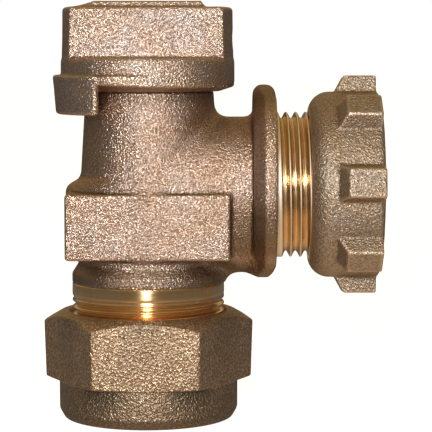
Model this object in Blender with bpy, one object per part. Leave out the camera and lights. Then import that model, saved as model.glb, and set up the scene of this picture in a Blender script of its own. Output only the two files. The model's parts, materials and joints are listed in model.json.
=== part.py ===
# Angle key valve for a water meter: a cast body with a tee-headed quarter-turn key on top,
# a compression end below for copper-size tube, and a threaded outlet with a lugged nut.
# Metres, +Z up. The origin is the centre of the tube entry, on the bottom of the
# compression nut, and the outlet points along +X.

import math

import bmesh
import bpy
from mathutils import Matrix

# Fits between neighbouring pieces
SEAT_GAP = 0.0003
RUNNING_GAP = 0.00015
THREAD_GAP = 0.00025
TUBE_GAP = 0.0002
STOP_GAP = 0.0008
OVERLAP = 0.001

# Tube and compression stack
TUBE_RADIUS = 0.0111125
TUBE_DEPTH = 0.0188
GRIPPER_WALL = 0.0014
GRIPPER_SPLIT = 0.0025
SEAT_TAPER = 0.0017
GASKET_WALL = 0.0026
GASKET_LENGTH = 0.0080
GRIPPER_WASHER_THICKNESS = 0.0012
CONTINUITY_WIRE_RADIUS = 0.00055
TIGHTENING_TRAVEL = 0.0024

# Compression nut
NUT_HEIGHT = 0.0242
NUT_LIP = 0.0036
NUT_SEAT_LENGTH = 0.0054
NUT_WALL = 0.00345
NUT_TOP_STEP = 0.00115
NUT_COLLAR_STEP = 0.00045
NUT_COLLAR_TOP = 0.0075
NUT_BOTTOM_ROUND = 0.0027
NUT_TOP_BEVEL = 30.0
NUT_LOWER_BEVEL = 25.0

# Threads: the inlet's has 16 turns to the inch, the outlet's 11 and a half
INLET_THREAD_RADIUS = 0.0172
INLET_PITCH = 0.0254 / 16
OUTLET_THREAD_RADIUS = 0.0164
OUTLET_PITCH = 0.0254 / 11.5
THREAD_DEPTH = 0.64
THREAD_FLANK_ANGLE = 30.0
THREAD_FADE_TURNS = 0.3
THREAD_LEAD = 0.0005
THREAD_RUNOUT_TURNS = 1.5

# Body
INLET_THREAD_TOP = 0.02915
SHOULDER_BOTTOM = 0.0329
SHOULDER_HEIGHT = 0.0018
WAIST_RADIUS = 0.0158
BLOCK_BOTTOM = 0.0368
BLOCK_HEIGHT = 0.0146
BLOCK_WIDTH = 0.0362
BLOCK_DEPTH = 0.0328
BLOCK_ROUND = 0.0008
BARREL_WIDTH = 0.0380
BARREL_DEPTH = 0.0320
BARREL_RISE = 0.0003
BARREL_ROUND = 0.0007
NECK_FOOT = 0.0020
NECK_RADIUS = 0.0155
NECK_TAPER = 0.0011
CASTING_SHIFT = 0.0004
WATERWAY_RADIUS = 0.0104

# Outlet
OUTLET_AXIS_HEIGHT = 0.0526
BOSS_TOP = 0.0153
BOSS_DROP = 0.0199
FLANGE_FACE = 0.0236
FLANGE_THICKNESS = 0.0051
FLANGE_RADIUS = 0.0216
FLANGE_RISE = 0.0009
FLANGE_ROUND = 0.0029
FLANGE_LEAN = 0.0003
FLANGE_FILLET = 0.0016
RELIEF_LENGTH = 0.0003
OUTLET_END = 0.0410
OUTLET_BORE = 0.0092
PORT_WALL = 0.0040

# Key and its seals
KEY_BOTTOM_RADIUS = 0.0101
KEY_TOP_RADIUS = 0.0092
KEY_BELOW_AXIS = 0.0122
KEY_ABOVE_AXIS = 0.0120
KEY_BORE = 0.0070
KEY_ROOF = 0.0040
KEY_DOME = 0.0015
PORT_RADIUS = 0.0060
STEM_RADIUS = 0.0060
STEM_HOUSING = 0.0073
STEM_RING_RADIUS = 0.00072
STEM_RING_SPACING = 0.0031
KEY_RING_RADIUS = 0.0008
KEY_RING_HEIGHT = 0.0028
PORT_SEAL_WALL = 0.0015
PORT_SEAL_LENGTH = 0.0019
THRUST_WASHER_THICKNESS = 0.0008
WAVE_THICKNESS = 0.0005
WAVE_HEIGHT = 0.0009
WAVES = 3
SPRING_WASHER_THICKNESS = 0.0008
RETAINING_RING_THICKNESS = 0.0012
RETAINING_RING_BITE = 0.0014
RETAINING_RING_SPLIT = 0.0060
SPRING_STACK_WIDTH = 0.0022

# Tee cap
SKIRT_RADIUS = 0.01945
SKIRT_BEVEL = 0.0011
SKIRT_BEVEL_WIDTH = 0.0034
SKIRT_HEIGHT = 0.0066
SHOULDER_RISE = 0.0010
HEAD_THICKNESS = 0.0180
HEAD_HEIGHT = 0.0111
HEAD_ROUND = 0.0014
HEAD_STEP = 0.0001
HEAD_DRAFT = 0.0003
CROWN_HEIGHT = 0.0014
CROWN_LEFT = 0.0135
CROWN_RIGHT = 0.0122
CROWN_RAMP_LEFT = 0.0040
CROWN_RAMP_RIGHT = 0.0010
CROWN_INSET = 0.0016
CAP_ROOF = 0.0030
TANG_THICKNESS = 0.0084
TAB_RADIUS = 0.0213
TAB_DRAFT = 0.0007
TAB_DROP = 0.0051
TAB_RISE = 0.0037
TAB_CLEARANCE = 0.0010
TAB_END = 0.0103
PIN_RADIUS = 0.0020
PIN_RECESS = 0.0006
PIN_BELOW_TOP = 0.0072

# Quarter-turn stop: a lug on the neck in an arc pocket under the cap
STOP_LUG_INNER = 0.0086
STOP_LUG_WIDTH = 0.0028
STOP_LUG_HEIGHT = 0.0026
STOP_LUG_ANGLE = 20.0
STOP_LUG_PLACE = 45.0
STOP_LUG_SLACK = 1.5
KEY_TURN = 90.0

# Coupling nut and meter gasket
COUPLING_ENGAGED = 0.0050
COUPLING_LENGTH = 0.0160
COUPLING_WALL = 0.0045
COUPLING_SHOULDER = 0.0047
COUPLING_LEAD = 0.0012
LUGS = 8
LUG_HEIGHT = 0.0035
LUG_TOP_WIDTH = 0.0062
LUG_BASE_WIDTH = 0.0076
LUG_START = 0.0060
LUG_SLANT = 0.0019
LUG_END_SLANT = 0.0009
LUG_TURN = -4.5
METER_GASKET_DEPTH = 0.0046
METER_GASKET_THICKNESS = 0.0020
METER_GASKET_BORE = 0.0095

# Facets round a full circle: a multiple of six, so that the hex has its corners on them
SEGMENTS = 30
FINE_SEGMENTS = 48
RING_SEGMENTS = 6
PIN_SEGMENTS = 16
ARC_STEPS = 4
ARC_FACET = 10.0
EDGE_ANGLE = 35.0

# Sizes that follow from those above
INLET_DEPTH = THREAD_DEPTH * INLET_PITCH
OUTLET_DEPTH = THREAD_DEPTH * OUTLET_PITCH
PASS_RADIUS = TUBE_RADIUS + TUBE_GAP
BORE_RADIUS = PASS_RADIUS + SEAT_GAP
SEAT_SMALL = PASS_RADIUS + GRIPPER_WALL + SEAT_GAP
SEAT_LARGE = SEAT_SMALL + SEAT_TAPER
SEAT_TOP = NUT_LIP + NUT_SEAT_LENGTH
HALF_FLATS = INLET_THREAD_RADIUS + NUT_WALL
COLLAR_RADIUS = HALF_FLATS - NUT_COLLAR_STEP
GRIPPER_WASHER_BASE = SEAT_TOP
GRIPPER_WASHER_TOP = GRIPPER_WASHER_BASE + GRIPPER_WASHER_THICKNESS
SOCKET_END = SEAT_TOP + TIGHTENING_TRAVEL + STOP_GAP
GASKET_RADIUS = PASS_RADIUS + GASKET_WALL
GASKET_BASE = GRIPPER_WASHER_TOP + TIGHTENING_TRAVEL + SEAT_GAP
GASKET_TOP = GASKET_BASE + GASKET_LENGTH
SOCKET_RADIUS = GASKET_RADIUS + SEAT_GAP
TUBE_STOP = SOCKET_END + TUBE_DEPTH
BLOCK_TOP = BLOCK_BOTTOM + BLOCK_HEIGHT
NECK_TOP_RADIUS = NECK_RADIUS - NECK_TAPER
KEY_BASE = OUTLET_AXIS_HEIGHT - KEY_BELOW_AXIS
KEY_TOP = OUTLET_AXIS_HEIGHT + KEY_ABOVE_AXIS
KEY_HEIGHT = KEY_BELOW_AXIS + KEY_ABOVE_AXIS
BODY_ROOF = KEY_TOP + THRUST_WASHER_THICKNESS + 2 * SEAT_GAP
BODY_TOP = BODY_ROOF + STEM_HOUSING
STEM_BORE = STEM_RADIUS + SEAT_GAP
WAVE_BASE = KEY_BASE - SEAT_GAP - WAVE_HEIGHT - WAVE_THICKNESS
SPRING_WASHER_BASE = WAVE_BASE - SEAT_GAP - SPRING_WASHER_THICKNESS
RETAINING_RING_BASE = SPRING_WASHER_BASE - SEAT_GAP - RETAINING_RING_THICKNESS
SPRING_OUTER = WATERWAY_RADIUS - SEAT_GAP
SPRING_INNER = SPRING_OUTER - SPRING_STACK_WIDTH
PORT_SEAL_INNER = PORT_RADIUS + SEAT_GAP
PORT_SEAL_OUTER = PORT_SEAL_INNER + PORT_SEAL_WALL
PORT_SEAL_START = KEY_BOTTOM_RADIUS + SEAT_GAP
PORT_SEAL_END = PORT_SEAL_START + PORT_SEAL_LENGTH
CAP_BASE = BODY_TOP + SEAT_GAP
SKIRT_TOP = CAP_BASE + SKIRT_HEIGHT
HEAD_BASE = SKIRT_TOP + SHOULDER_RISE
HEAD_TOP = HEAD_BASE + HEAD_HEIGHT
HEAD_RADIUS = SKIRT_RADIUS - HEAD_STEP
TANG_TOP = HEAD_TOP - CAP_ROOF
PIN_HEIGHT = HEAD_TOP - PIN_BELOW_TOP
STOP_LUG_OUTER = STOP_LUG_INNER + STOP_LUG_WIDTH
COUPLING_START = OUTLET_END - COUPLING_ENGAGED
COUPLING_RADIUS = OUTLET_THREAD_RADIUS + COUPLING_WALL
METER_GASKET_END = COUPLING_START + COUPLING_LENGTH - METER_GASKET_DEPTH
METER_GASKET_RADIUS = OUTLET_THREAD_RADIUS - OUTLET_DEPTH + THREAD_GAP - SEAT_GAP


def clear_scene():
    for obj in list(bpy.data.objects):
        bpy.data.objects.remove(obj, do_unlink=True)


def make_material(name, colour, roughness, metallic):
    material = bpy.data.materials.new(name)
    material.use_nodes = True
    shader = material.node_tree.nodes["Principled BSDF"]
    shader.inputs["Base Color"].default_value = (*colour, 1.0)
    shader.inputs["Roughness"].default_value = roughness
    shader.inputs["Metallic"].default_value = metallic
    return material


def make_empty(name, location, rotation=(0, 0, 0)):
    empty = bpy.data.objects.new(name, None)
    empty.location = location
    empty.rotation_euler = rotation
    bpy.context.scene.collection.objects.link(empty)
    return empty


def make_object(name, bm, material=None, parent=None, height=0.0, turn=0.0):
    """Puts a mesh into the scene, at a height along its parent's axis."""
    bmesh.ops.recalc_face_normals(bm, faces=bm.faces)
    mesh = bpy.data.meshes.new(name)
    bm.to_mesh(mesh)
    bm.free()
    mesh.shade_smooth()
    mesh.set_sharp_from_angle(angle=math.radians(EDGE_ANGLE))
    if material:
        mesh.materials.append(material)
    obj = bpy.data.objects.new(name, mesh)
    obj.parent = parent
    obj.location = (0, 0, height)
    obj.rotation_euler = (0, 0, math.radians(turn))
    bpy.context.scene.collection.objects.link(obj)
    return obj


def boolean(target, operation, name, bm, parent=None, height=0.0, turn=0.0):
    """Joins a shape to the target or cuts it out, and hides the shape itself."""
    tool = make_object(name, bm, parent=parent, height=height, turn=turn)
    tool.hide_render = True
    tool.display_type = "WIRE"
    modifier = target.modifiers.new(name, "BOOLEAN")
    modifier.operation = operation
    modifier.object = tool


def circle(bm, radius, height, segments=SEGMENTS):
    turns = [math.tau * i / segments for i in range(segments)]
    return [bm.verts.new((radius * math.cos(a), radius * math.sin(a), height)) for a in turns]


def oval(bm, width, depth, height):
    points = circle(bm, 0.5, height)
    bmesh.ops.scale(bm, vec=(width, depth, 1), verts=points)
    return points


def skin(bm, rings):
    """Faces between each ring of points and the next."""
    for lower, upper in zip(rings, rings[1:]):
        for i in range(len(lower)):
            j = (i + 1) % len(lower)
            bm.faces.new((lower[i], lower[j], upper[j], upper[i]))


def rod(profile, segments=SEGMENTS):
    """A solid turned about Z from (radius, height) points, with flat ends."""
    bm = bmesh.new()
    rings = [circle(bm, radius, height, segments) for radius, height in profile]
    skin(bm, rings)
    bm.faces.new(rings[0])
    bm.faces.new(rings[-1])
    return bm


def half_facet(bm, segments=SEGMENTS):
    """Turns a round shape by half a facet, so that no edge of it lies along one of its neighbour."""
    spin = Matrix.Rotation(math.pi / segments, 3, "Z")
    bmesh.ops.rotate(bm, cent=(0, 0, 0), matrix=spin, verts=bm.verts)
    return bm


def turned(profile, segments=SEGMENTS, split=0.0, wave=0.0):
    """A ring turned about Z from a closed outline, split open or waved where asked."""
    bm = bmesh.new()
    steps = segments if split == 0 else segments + 1
    sections = []
    for i in range(steps):
        angle = split / 2 + (math.tau - split) * i / segments
        lift = wave * (1 - math.cos(WAVES * angle)) / 2
        cosine = math.cos(angle)
        sine = math.sin(angle)
        sections.append([bm.verts.new((r * cosine, r * sine, z + lift)) for r, z in profile])
    if split == 0:
        sections.append(sections[0])
    else:
        bm.faces.new(sections[0])
        bm.faces.new(sections[-1])
    skin(bm, sections)
    return bm


def washer(inner, outer, thickness, **options):
    return turned([(inner, 0), (outer, 0), (outer, thickness), (inner, thickness)], **options)


def round_ring(middle, wire, segments=SEGMENTS):
    """A ring of round section, centred on its own height."""
    outline = []
    for i in range(RING_SEGMENTS):
        angle = math.tau * (i + 0.5) / RING_SEGMENTS
        outline.append((middle + wire * math.cos(angle), wire * math.sin(angle)))
    return turned(outline, segments)


def arc_block(inner, outer, base, top, start, sweep):
    """A block between two radii over an arc in degrees."""
    bm = bmesh.new()
    steps = max(ARC_STEPS, round(sweep / ARC_FACET))
    sections = []
    for i in range(steps + 1):
        angle = math.radians(start + sweep * i / steps)
        corners = ((inner, base), (outer, base), (outer, top), (inner, top))
        cosine = math.cos(angle)
        sine = math.sin(angle)
        sections.append([bm.verts.new((r * cosine, r * sine, z)) for r, z in corners])
    skin(bm, sections)
    bm.faces.new(sections[0])
    bm.faces.new(sections[-1])
    return bm


def box(width, depth, base, top, rounding=0.0):
    bm = bmesh.new()
    bmesh.ops.create_cube(bm, size=1.0)
    bmesh.ops.scale(bm, vec=(width, depth, top - base), verts=bm.verts)
    bmesh.ops.translate(bm, vec=(0, 0, (base + top) / 2), verts=bm.verts)
    if rounding:
        bmesh.ops.bevel(bm, geom=bm.edges, offset=rounding, segments=2, profile=0.5, affect="EDGES")
    return bm


def add_thread(bm, lower, upper, start, turns, pitch, base, ridge, low_plain=False, high_plain=False):
    """A helical ridge on a screw of the base radius, between a lower and an upper ring.

    Towards a ring of the base radius the ridge fades out. Towards a plain ring, of the
    ridge's radius, the groove fades out instead.
    """
    count = len(lower)
    flank = THREAD_DEPTH * pitch * math.tan(math.radians(THREAD_FLANK_ANGLE))
    flat = pitch / 2 - flank
    levels = (0, flank, flank + flat, 2 * flank + flat)
    rows = len(levels)
    # A plain end starts or stops at an edge of the ridge, and not in the groove
    first_row = -2 if low_plain else 0
    last_row = rows * turns + (1 if high_plain else 0)

    def fade(*turns_left):
        return max(0.0, min(1.0, *(left / THREAD_FADE_TURNS for left in turns_left)))

    def point(row, step):
        turn = row // rows + step / count
        groove = (row + 1) // rows + step / count
        if row % rows in (1, 2):
            share = fade(turns if low_plain else turn, turns if high_plain else turns - turn)
        else:
            share = 1 - fade(groove if low_plain else turns, turns + 1 - groove if high_plain else turns)
        radius = base + (ridge - base) * share
        angle = math.tau * step / count
        height = start + pitch * turn + levels[row % rows]
        return bm.verts.new((radius * math.cos(angle), radius * math.sin(angle), height))

    grid = [[point(row, step) for step in range(count)] for row in range(first_row, last_row + 1)]
    top = len(grid) - 1
    seam = [row[0] for row in grid] + [point(last_row + i, 0) for i in range(1, rows + 1)]
    # Past its last facet each row runs on into the row one turn above it
    columns = [row + [seam[i + rows]] for i, row in enumerate(grid)]
    for low, high in zip(columns, columns[1:]):
        for i in range(count):
            bm.faces.new((low[i], low[i + 1], high[i + 1], high[i]))

    first = columns[0]
    for i in range(count - 1):
        bm.faces.new((lower[i], lower[i + 1], first[i + 1], first[i]))
    bm.faces.new((lower[-1], lower[0], first[0], first[count - 1]))
    final = columns[-1]
    for i in range(1, count):
        bm.faces.new((final[i], final[i + 1], upper[(i + 1) % count], upper[i]))
    bm.faces.new((final[count], final[1], upper[1], upper[0]))
    for i in range(rows):
        bm.faces.new((first[count - 1], seam[i], seam[i + 1]))
        bm.faces.new((final[1], seam[top + i + 1], seam[top + i]))


def whole_turns(low, high, pitch):
    """Turns of a ridge that fit between two heights, with its two faded ends."""
    return int((high - low) / pitch) - 1


def mesh_start(low, screw_start, pitch):
    """First height from low up where a nut's ridge lies in the screw's groove."""
    groove = screw_start + pitch / 2
    return groove + pitch * math.ceil((low - groove) / pitch)


INLET_SCREW_LENGTH = INLET_THREAD_TOP - SOCKET_END - 2 * THREAD_LEAD
INLET_TURNS = int(INLET_SCREW_LENGTH / INLET_PITCH - THREAD_RUNOUT_TURNS)
INLET_THREAD_START = INLET_THREAD_TOP - (INLET_TURNS + THREAD_RUNOUT_TURNS) * INLET_PITCH
OUTLET_THREAD_START = FLANGE_FACE + FLANGE_THICKNESS + RELIEF_LENGTH


def body_core():
    """The upright part of the body: threaded socket, band, shoulder, waist, barrel and neck."""
    bm = bmesh.new()
    root = INLET_THREAD_RADIUS - INLET_DEPTH
    end = circle(bm, root - THREAD_LEAD, SOCKET_END)
    lower = circle(bm, root, SOCKET_END + THREAD_LEAD)
    upper = circle(bm, INLET_THREAD_RADIUS, INLET_THREAD_TOP)
    add_thread(
        bm, lower, upper, INLET_THREAD_START, INLET_TURNS, INLET_PITCH, root, INLET_THREAD_RADIUS,
        high_plain=True,
    )
    barrel_top = BLOCK_TOP + BARREL_RISE
    barrel_end = barrel_top + 2 * BARREL_ROUND
    neck = [
        circle(bm, NECK_RADIUS, barrel_end + NECK_FOOT),
        circle(bm, NECK_TOP_RADIUS, BODY_TOP),
    ]
    bmesh.ops.translate(bm, vec=(CASTING_SHIFT, 0, 0), verts=neck[0] + neck[1])
    rings = [
        upper,
        circle(bm, INLET_THREAD_RADIUS, SHOULDER_BOTTOM),
        circle(bm, WAIST_RADIUS, SHOULDER_BOTTOM + SHOULDER_HEIGHT),
        circle(bm, WAIST_RADIUS, BLOCK_BOTTOM + BLOCK_ROUND / 2),
        oval(bm, BARREL_WIDTH, BARREL_DEPTH, BLOCK_BOTTOM + 2 * BLOCK_ROUND),
        oval(bm, BARREL_WIDTH, BARREL_DEPTH, barrel_top),
        oval(bm, BARREL_WIDTH - 2 * BARREL_ROUND, BARREL_DEPTH, barrel_end),
        *neck,
    ]
    skin(bm, [end, lower])
    skin(bm, rings)
    bm.faces.new(end)
    bm.faces.new(rings[-1])
    return bm


def outlet_boss():
    """Egg-shaped boss along the outlet: round above its axis, deeper below it."""
    bm = bmesh.new()
    rings = []
    for distance in (0.0, FLANGE_FACE + FLANGE_THICKNESS / 2):
        ring = []
        for i in range(SEGMENTS):
            angle = math.tau * (i + 0.5) / SEGMENTS
            down = math.cos(angle)
            reach = BOSS_DROP if down > 0 else BOSS_TOP
            ring.append(bm.verts.new((reach * down, BOSS_TOP * math.sin(angle), distance)))
        rings.append(ring)
    skin(bm, rings)
    bm.faces.new(rings[0])
    bm.faces.new(rings[1])
    return bm


def flange():
    """Disc with a round rim and a fillet on the body side."""
    half = FLANGE_THICKNESS / 2 - FLANGE_LEAN
    middle = FLANGE_FACE + FLANGE_THICKNESS / 2
    root = OUTLET_THREAD_RADIUS - OUTLET_DEPTH
    outline = [
        (root - OVERLAP, FLANGE_FACE - FLANGE_FILLET),
        (root - OVERLAP + FLANGE_FILLET, FLANGE_FACE),
    ]
    steps = 2 * ARC_STEPS
    for i in range(steps + 1):
        angle = math.pi * (i / steps - 0.5)
        radius = FLANGE_RADIUS - FLANGE_ROUND * (1 - math.cos(angle))
        outline.append((radius, middle + half * math.sin(angle)))
    outline.append((root - OVERLAP, FLANGE_FACE + FLANGE_THICKNESS))
    bm = half_facet(rod(outline, FINE_SEGMENTS), FINE_SEGMENTS)
    bmesh.ops.translate(bm, vec=(-FLANGE_RISE, 0, 0), verts=bm.verts)
    return bm


def outlet_screw():
    """The outlet's spigot: thread from the flange on, and bevelled end."""
    bm = bmesh.new()
    root = OUTLET_THREAD_RADIUS - OUTLET_DEPTH
    lower = circle(bm, OUTLET_THREAD_RADIUS, FLANGE_FACE + FLANGE_THICKNESS / 2)
    upper = circle(bm, root, OUTLET_END - THREAD_LEAD)
    end = circle(bm, root - THREAD_LEAD, OUTLET_END)
    turns = whole_turns(OUTLET_THREAD_START, OUTLET_END - THREAD_LEAD, OUTLET_PITCH)
    add_thread(
        bm, lower, upper, OUTLET_THREAD_START, turns, OUTLET_PITCH, root, OUTLET_THREAD_RADIUS,
        low_plain=True,
    )
    skin(bm, [upper, end])
    bm.faces.new(lower)
    bm.faces.new(end)
    return bm


def body_bore():
    """The space through the body along Z: socket, tube pocket, waterway, key seat and stem bore."""
    groove_low = RETAINING_RING_BASE - SEAT_GAP
    groove_high = RETAINING_RING_BASE + RETAINING_RING_THICKNESS + SEAT_GAP
    groove = SPRING_OUTER + RETAINING_RING_BITE + SEAT_GAP
    cone_base = GASKET_TOP + SEAT_GAP
    return rod([
        (SOCKET_RADIUS + SEAT_GAP, SOCKET_END - OVERLAP),
        (SOCKET_RADIUS + SEAT_GAP, SOCKET_END + SEAT_GAP),
        (SOCKET_RADIUS, SOCKET_END + 2 * SEAT_GAP),
        (SOCKET_RADIUS, cone_base),
        (BORE_RADIUS, cone_base + SOCKET_RADIUS - BORE_RADIUS),
        (BORE_RADIUS, TUBE_STOP),
        (WATERWAY_RADIUS, TUBE_STOP),
        (WATERWAY_RADIUS, groove_low),
        (groove, groove_low),
        (groove, groove_high),
        (WATERWAY_RADIUS, groove_high),
        (WATERWAY_RADIUS, KEY_BASE - SEAT_GAP),
        (KEY_BOTTOM_RADIUS + RUNNING_GAP, KEY_BASE),
        (KEY_TOP_RADIUS + RUNNING_GAP, KEY_TOP),
        (KEY_TOP_RADIUS + RUNNING_GAP, BODY_ROOF),
        (STEM_BORE, BODY_ROOF),
        (STEM_BORE, BODY_TOP + OVERLAP),
    ])


def outlet_bore():
    """The space along the outlet: seat of the port seal, port and open bore."""
    pocket_end = PORT_SEAL_END + SEAT_GAP
    return half_facet(rod([
        (PORT_SEAL_OUTER + SEAT_GAP, PORT_RADIUS),
        (PORT_SEAL_OUTER + SEAT_GAP, pocket_end),
        (PORT_SEAL_INNER, pocket_end),
        (PORT_SEAL_INNER, pocket_end + PORT_WALL),
        (OUTLET_BORE, pocket_end + PORT_WALL),
        (OUTLET_BORE, OUTLET_END + OVERLAP),
    ]))


def make_valve_body(material, outlet):
    body = make_object("valve_body", body_core(), material)
    block = box(BLOCK_WIDTH, BLOCK_DEPTH, BLOCK_BOTTOM, BLOCK_TOP, BLOCK_ROUND)
    bmesh.ops.translate(block, vec=(CASTING_SHIFT, 0, 0), verts=block.verts)
    stop_lug = arc_block(
        STOP_LUG_INNER, STOP_LUG_OUTER, BODY_TOP - OVERLAP, BODY_TOP + STOP_LUG_HEIGHT,
        STOP_LUG_PLACE - STOP_LUG_ANGLE / 2, STOP_LUG_ANGLE,
    )
    boolean(body, "UNION", "block", block)
    boolean(body, "UNION", "outlet_boss", outlet_boss(), outlet)
    boolean(body, "UNION", "flange", flange(), outlet)
    boolean(body, "UNION", "outlet_screw", outlet_screw(), outlet)
    boolean(body, "UNION", "stop_lug", stop_lug)
    boolean(body, "DIFFERENCE", "body_bore", body_bore())
    boolean(body, "DIFFERENCE", "outlet_bore", outlet_bore(), outlet)


def key_radius(height):
    """Radius of the key's taper at a height above its foot."""
    return KEY_BOTTOM_RADIUS + (KEY_TOP_RADIUS - KEY_BOTTOM_RADIUS) * height / KEY_HEIGHT


def ring_groove(radius, middle, wire):
    """Outline of a groove for a round ring, cut into a shaft of that radius."""
    half = wire + SEAT_GAP
    floor = radius - 2 * wire + RUNNING_GAP - SEAT_GAP
    return [(radius, middle - half), (floor, middle - half), (floor, middle + half), (radius, middle + half)]


def stem_ring_heights():
    middle = (BODY_ROOF + BODY_TOP) / 2
    return middle - STEM_RING_SPACING / 2, middle + STEM_RING_SPACING / 2


def key_shape():
    """Hollow plug, open below, with a groove at its foot and a grooved stem on top."""
    foot_groove = ring_groove(key_radius(KEY_RING_HEIGHT), KEY_BASE + KEY_RING_HEIGHT, KEY_RING_RADIUS)
    lower, upper = stem_ring_heights()
    return half_facet(rod([
        (KEY_BORE - KEY_DOME, KEY_TOP - KEY_ROOF),
        (KEY_BORE, KEY_TOP - KEY_ROOF - KEY_DOME),
        (KEY_BORE, KEY_BASE),
        (KEY_BOTTOM_RADIUS, KEY_BASE),
        *foot_groove,
        (KEY_TOP_RADIUS, KEY_TOP),
        (STEM_RADIUS, KEY_TOP),
        *ring_groove(STEM_RADIUS, lower, STEM_RING_RADIUS),
        *ring_groove(STEM_RADIUS, upper, STEM_RING_RADIUS),
        (STEM_RADIUS, TANG_TOP),
    ]))


def cross_pin(radius, length):
    """A rod of that length along X, centred on the pin's height."""
    bm = half_facet(rod([(radius, -length / 2), (radius, length / 2)], PIN_SEGMENTS), PIN_SEGMENTS)
    bmesh.ops.rotate(bm, cent=(0, 0, 0), matrix=Matrix.Rotation(math.pi / 2, 3, "Y"), verts=bm.verts)
    bmesh.ops.translate(bm, vec=(0, 0, PIN_HEIGHT), verts=bm.verts)
    return bm


def make_key(material, axis, outlet):
    key = make_object("key", key_shape(), material, axis)
    side = STEM_RADIUS + OVERLAP
    for sign in (-1, 1):
        flat = box(2 * side, side, BODY_TOP, TANG_TOP + OVERLAP)
        bmesh.ops.translate(flat, vec=(0, sign * (TANG_THICKNESS + side) / 2, 0), verts=flat.verts)
        boolean(key, "DIFFERENCE", f"tang_flat_{'front' if sign < 0 else 'back'}", flat)
    port = rod([(PORT_RADIUS, 0), (PORT_RADIUS, KEY_BOTTOM_RADIUS + OVERLAP)], SEGMENTS)
    boolean(key, "DIFFERENCE", "key_port", port, outlet)
    hole = cross_pin(PIN_RADIUS + RUNNING_GAP, 2 * side)
    boolean(key, "DIFFERENCE", "stem_pin_hole", hole)


def make_seals(rubber, plastic, axis, outlet):
    lower, upper = stem_ring_heights()
    stem_middle = STEM_RADIUS - STEM_RING_RADIUS + RUNNING_GAP
    make_object("stem_o_ring_lower", round_ring(stem_middle, STEM_RING_RADIUS), rubber, axis, lower)
    make_object("stem_o_ring_upper", round_ring(stem_middle, STEM_RING_RADIUS), rubber, axis, upper)
    foot_middle = key_radius(KEY_RING_HEIGHT) - KEY_RING_RADIUS
    foot_ring = round_ring(foot_middle, KEY_RING_RADIUS)
    make_object("key_o_ring", foot_ring, rubber, axis, KEY_BASE + KEY_RING_HEIGHT)
    seal = washer(PORT_SEAL_INNER, PORT_SEAL_OUTER, PORT_SEAL_LENGTH)
    make_object("port_seal_ring", seal, rubber, outlet, PORT_SEAL_START)
    thrust = washer(STEM_BORE, KEY_TOP_RADIUS - SEAT_GAP, THRUST_WASHER_THICKNESS)
    make_object("thrust_washer", thrust, plastic, height=KEY_TOP + SEAT_GAP)


def make_spring_stack(steel, brass):
    wave = washer(SPRING_INNER, SPRING_OUTER, WAVE_THICKNESS, segments=FINE_SEGMENTS, wave=WAVE_HEIGHT)
    make_object("wave_spring", wave, steel, height=WAVE_BASE)
    flat = washer(SPRING_INNER, SPRING_OUTER, SPRING_WASHER_THICKNESS)
    make_object("spring_washer", flat, brass, height=SPRING_WASHER_BASE)
    ring_outer = SPRING_OUTER + RETAINING_RING_BITE
    split = RETAINING_RING_SPLIT / ring_outer
    ring = washer(SPRING_INNER, ring_outer, RETAINING_RING_THICKNESS, split=split)
    make_object("retaining_ring", ring, steel, height=RETAINING_RING_BASE, turn=90)


def head_outline(bm, draft, inset, height):
    """Round disc with two flats, drawn in by the inset, and by the draft at its ends only."""
    radius = HEAD_RADIUS - draft - inset
    half = HEAD_THICKNESS / 2 - inset
    reach = math.asin(half / radius)
    steps = 2 * ARC_STEPS
    points = []
    for side in (0, math.pi):
        for i in range(steps + 1):
            angle = side - reach + 2 * reach * i / steps
            points.append(bm.verts.new((radius * math.cos(angle), radius * math.sin(angle), height)))
    return points


def tee_head():
    bm = bmesh.new()
    rings = [head_outline(bm, 0, 0, SKIRT_TOP - OVERLAP)]
    for i in range(ARC_STEPS):
        angle = math.pi / 2 * i / (ARC_STEPS - 1)
        inset = HEAD_ROUND * (1 - math.cos(angle))
        height = HEAD_TOP - HEAD_ROUND * (1 - math.sin(angle))
        rings.append(head_outline(bm, HEAD_DRAFT, inset, height))
    skin(bm, rings)
    bm.faces.new(rings[0])
    bm.faces.new(rings[-1])
    return bm


def crown():
    """Low raised pad on the head, with a long ramp at its left end and a steep one at its right."""
    bm = bmesh.new()
    half = HEAD_THICKNESS / 2 - HEAD_ROUND - CROWN_INSET
    outline = (
        (-CROWN_LEFT - CROWN_RAMP_LEFT, HEAD_TOP - CROWN_HEIGHT),
        (CROWN_RIGHT + CROWN_RAMP_RIGHT, HEAD_TOP - CROWN_HEIGHT),
        (CROWN_RIGHT - CROWN_RAMP_RIGHT, HEAD_TOP + CROWN_HEIGHT),
        (-CROWN_LEFT + CROWN_RAMP_LEFT, HEAD_TOP + CROWN_HEIGHT),
    )
    sides = [[bm.verts.new((x, y, z)) for x, z in outline] for y in (-half, half)]
    skin(bm, sides)
    bm.faces.new(sides[0])
    bm.faces.new(sides[1])
    return bm


def tab():
    """Lip that hangs down from the left of the skirt; both its ends are cut square, at one X."""
    bm = bmesh.new()
    inner = NECK_TOP_RADIUS + TAB_CLEARANCE
    base = CAP_BASE - TAB_DROP
    top = CAP_BASE + TAB_RISE
    corners = ((inner, base), (TAB_RADIUS - TAB_DRAFT, base), (TAB_RADIUS, top), (inner, top))
    steps = 3 * ARC_STEPS
    sections = []
    for i in range(steps + 1):
        section = []
        for radius, height in corners:
            angle = math.pi - math.acos(TAB_END / radius) * (1 - 2 * i / steps)
            section.append(bm.verts.new((radius * math.cos(angle), radius * math.sin(angle), height)))
        sections.append(section)
    skin(bm, sections)
    bm.faces.new(sections[0])
    bm.faces.new(sections[-1])
    return bm


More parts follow.
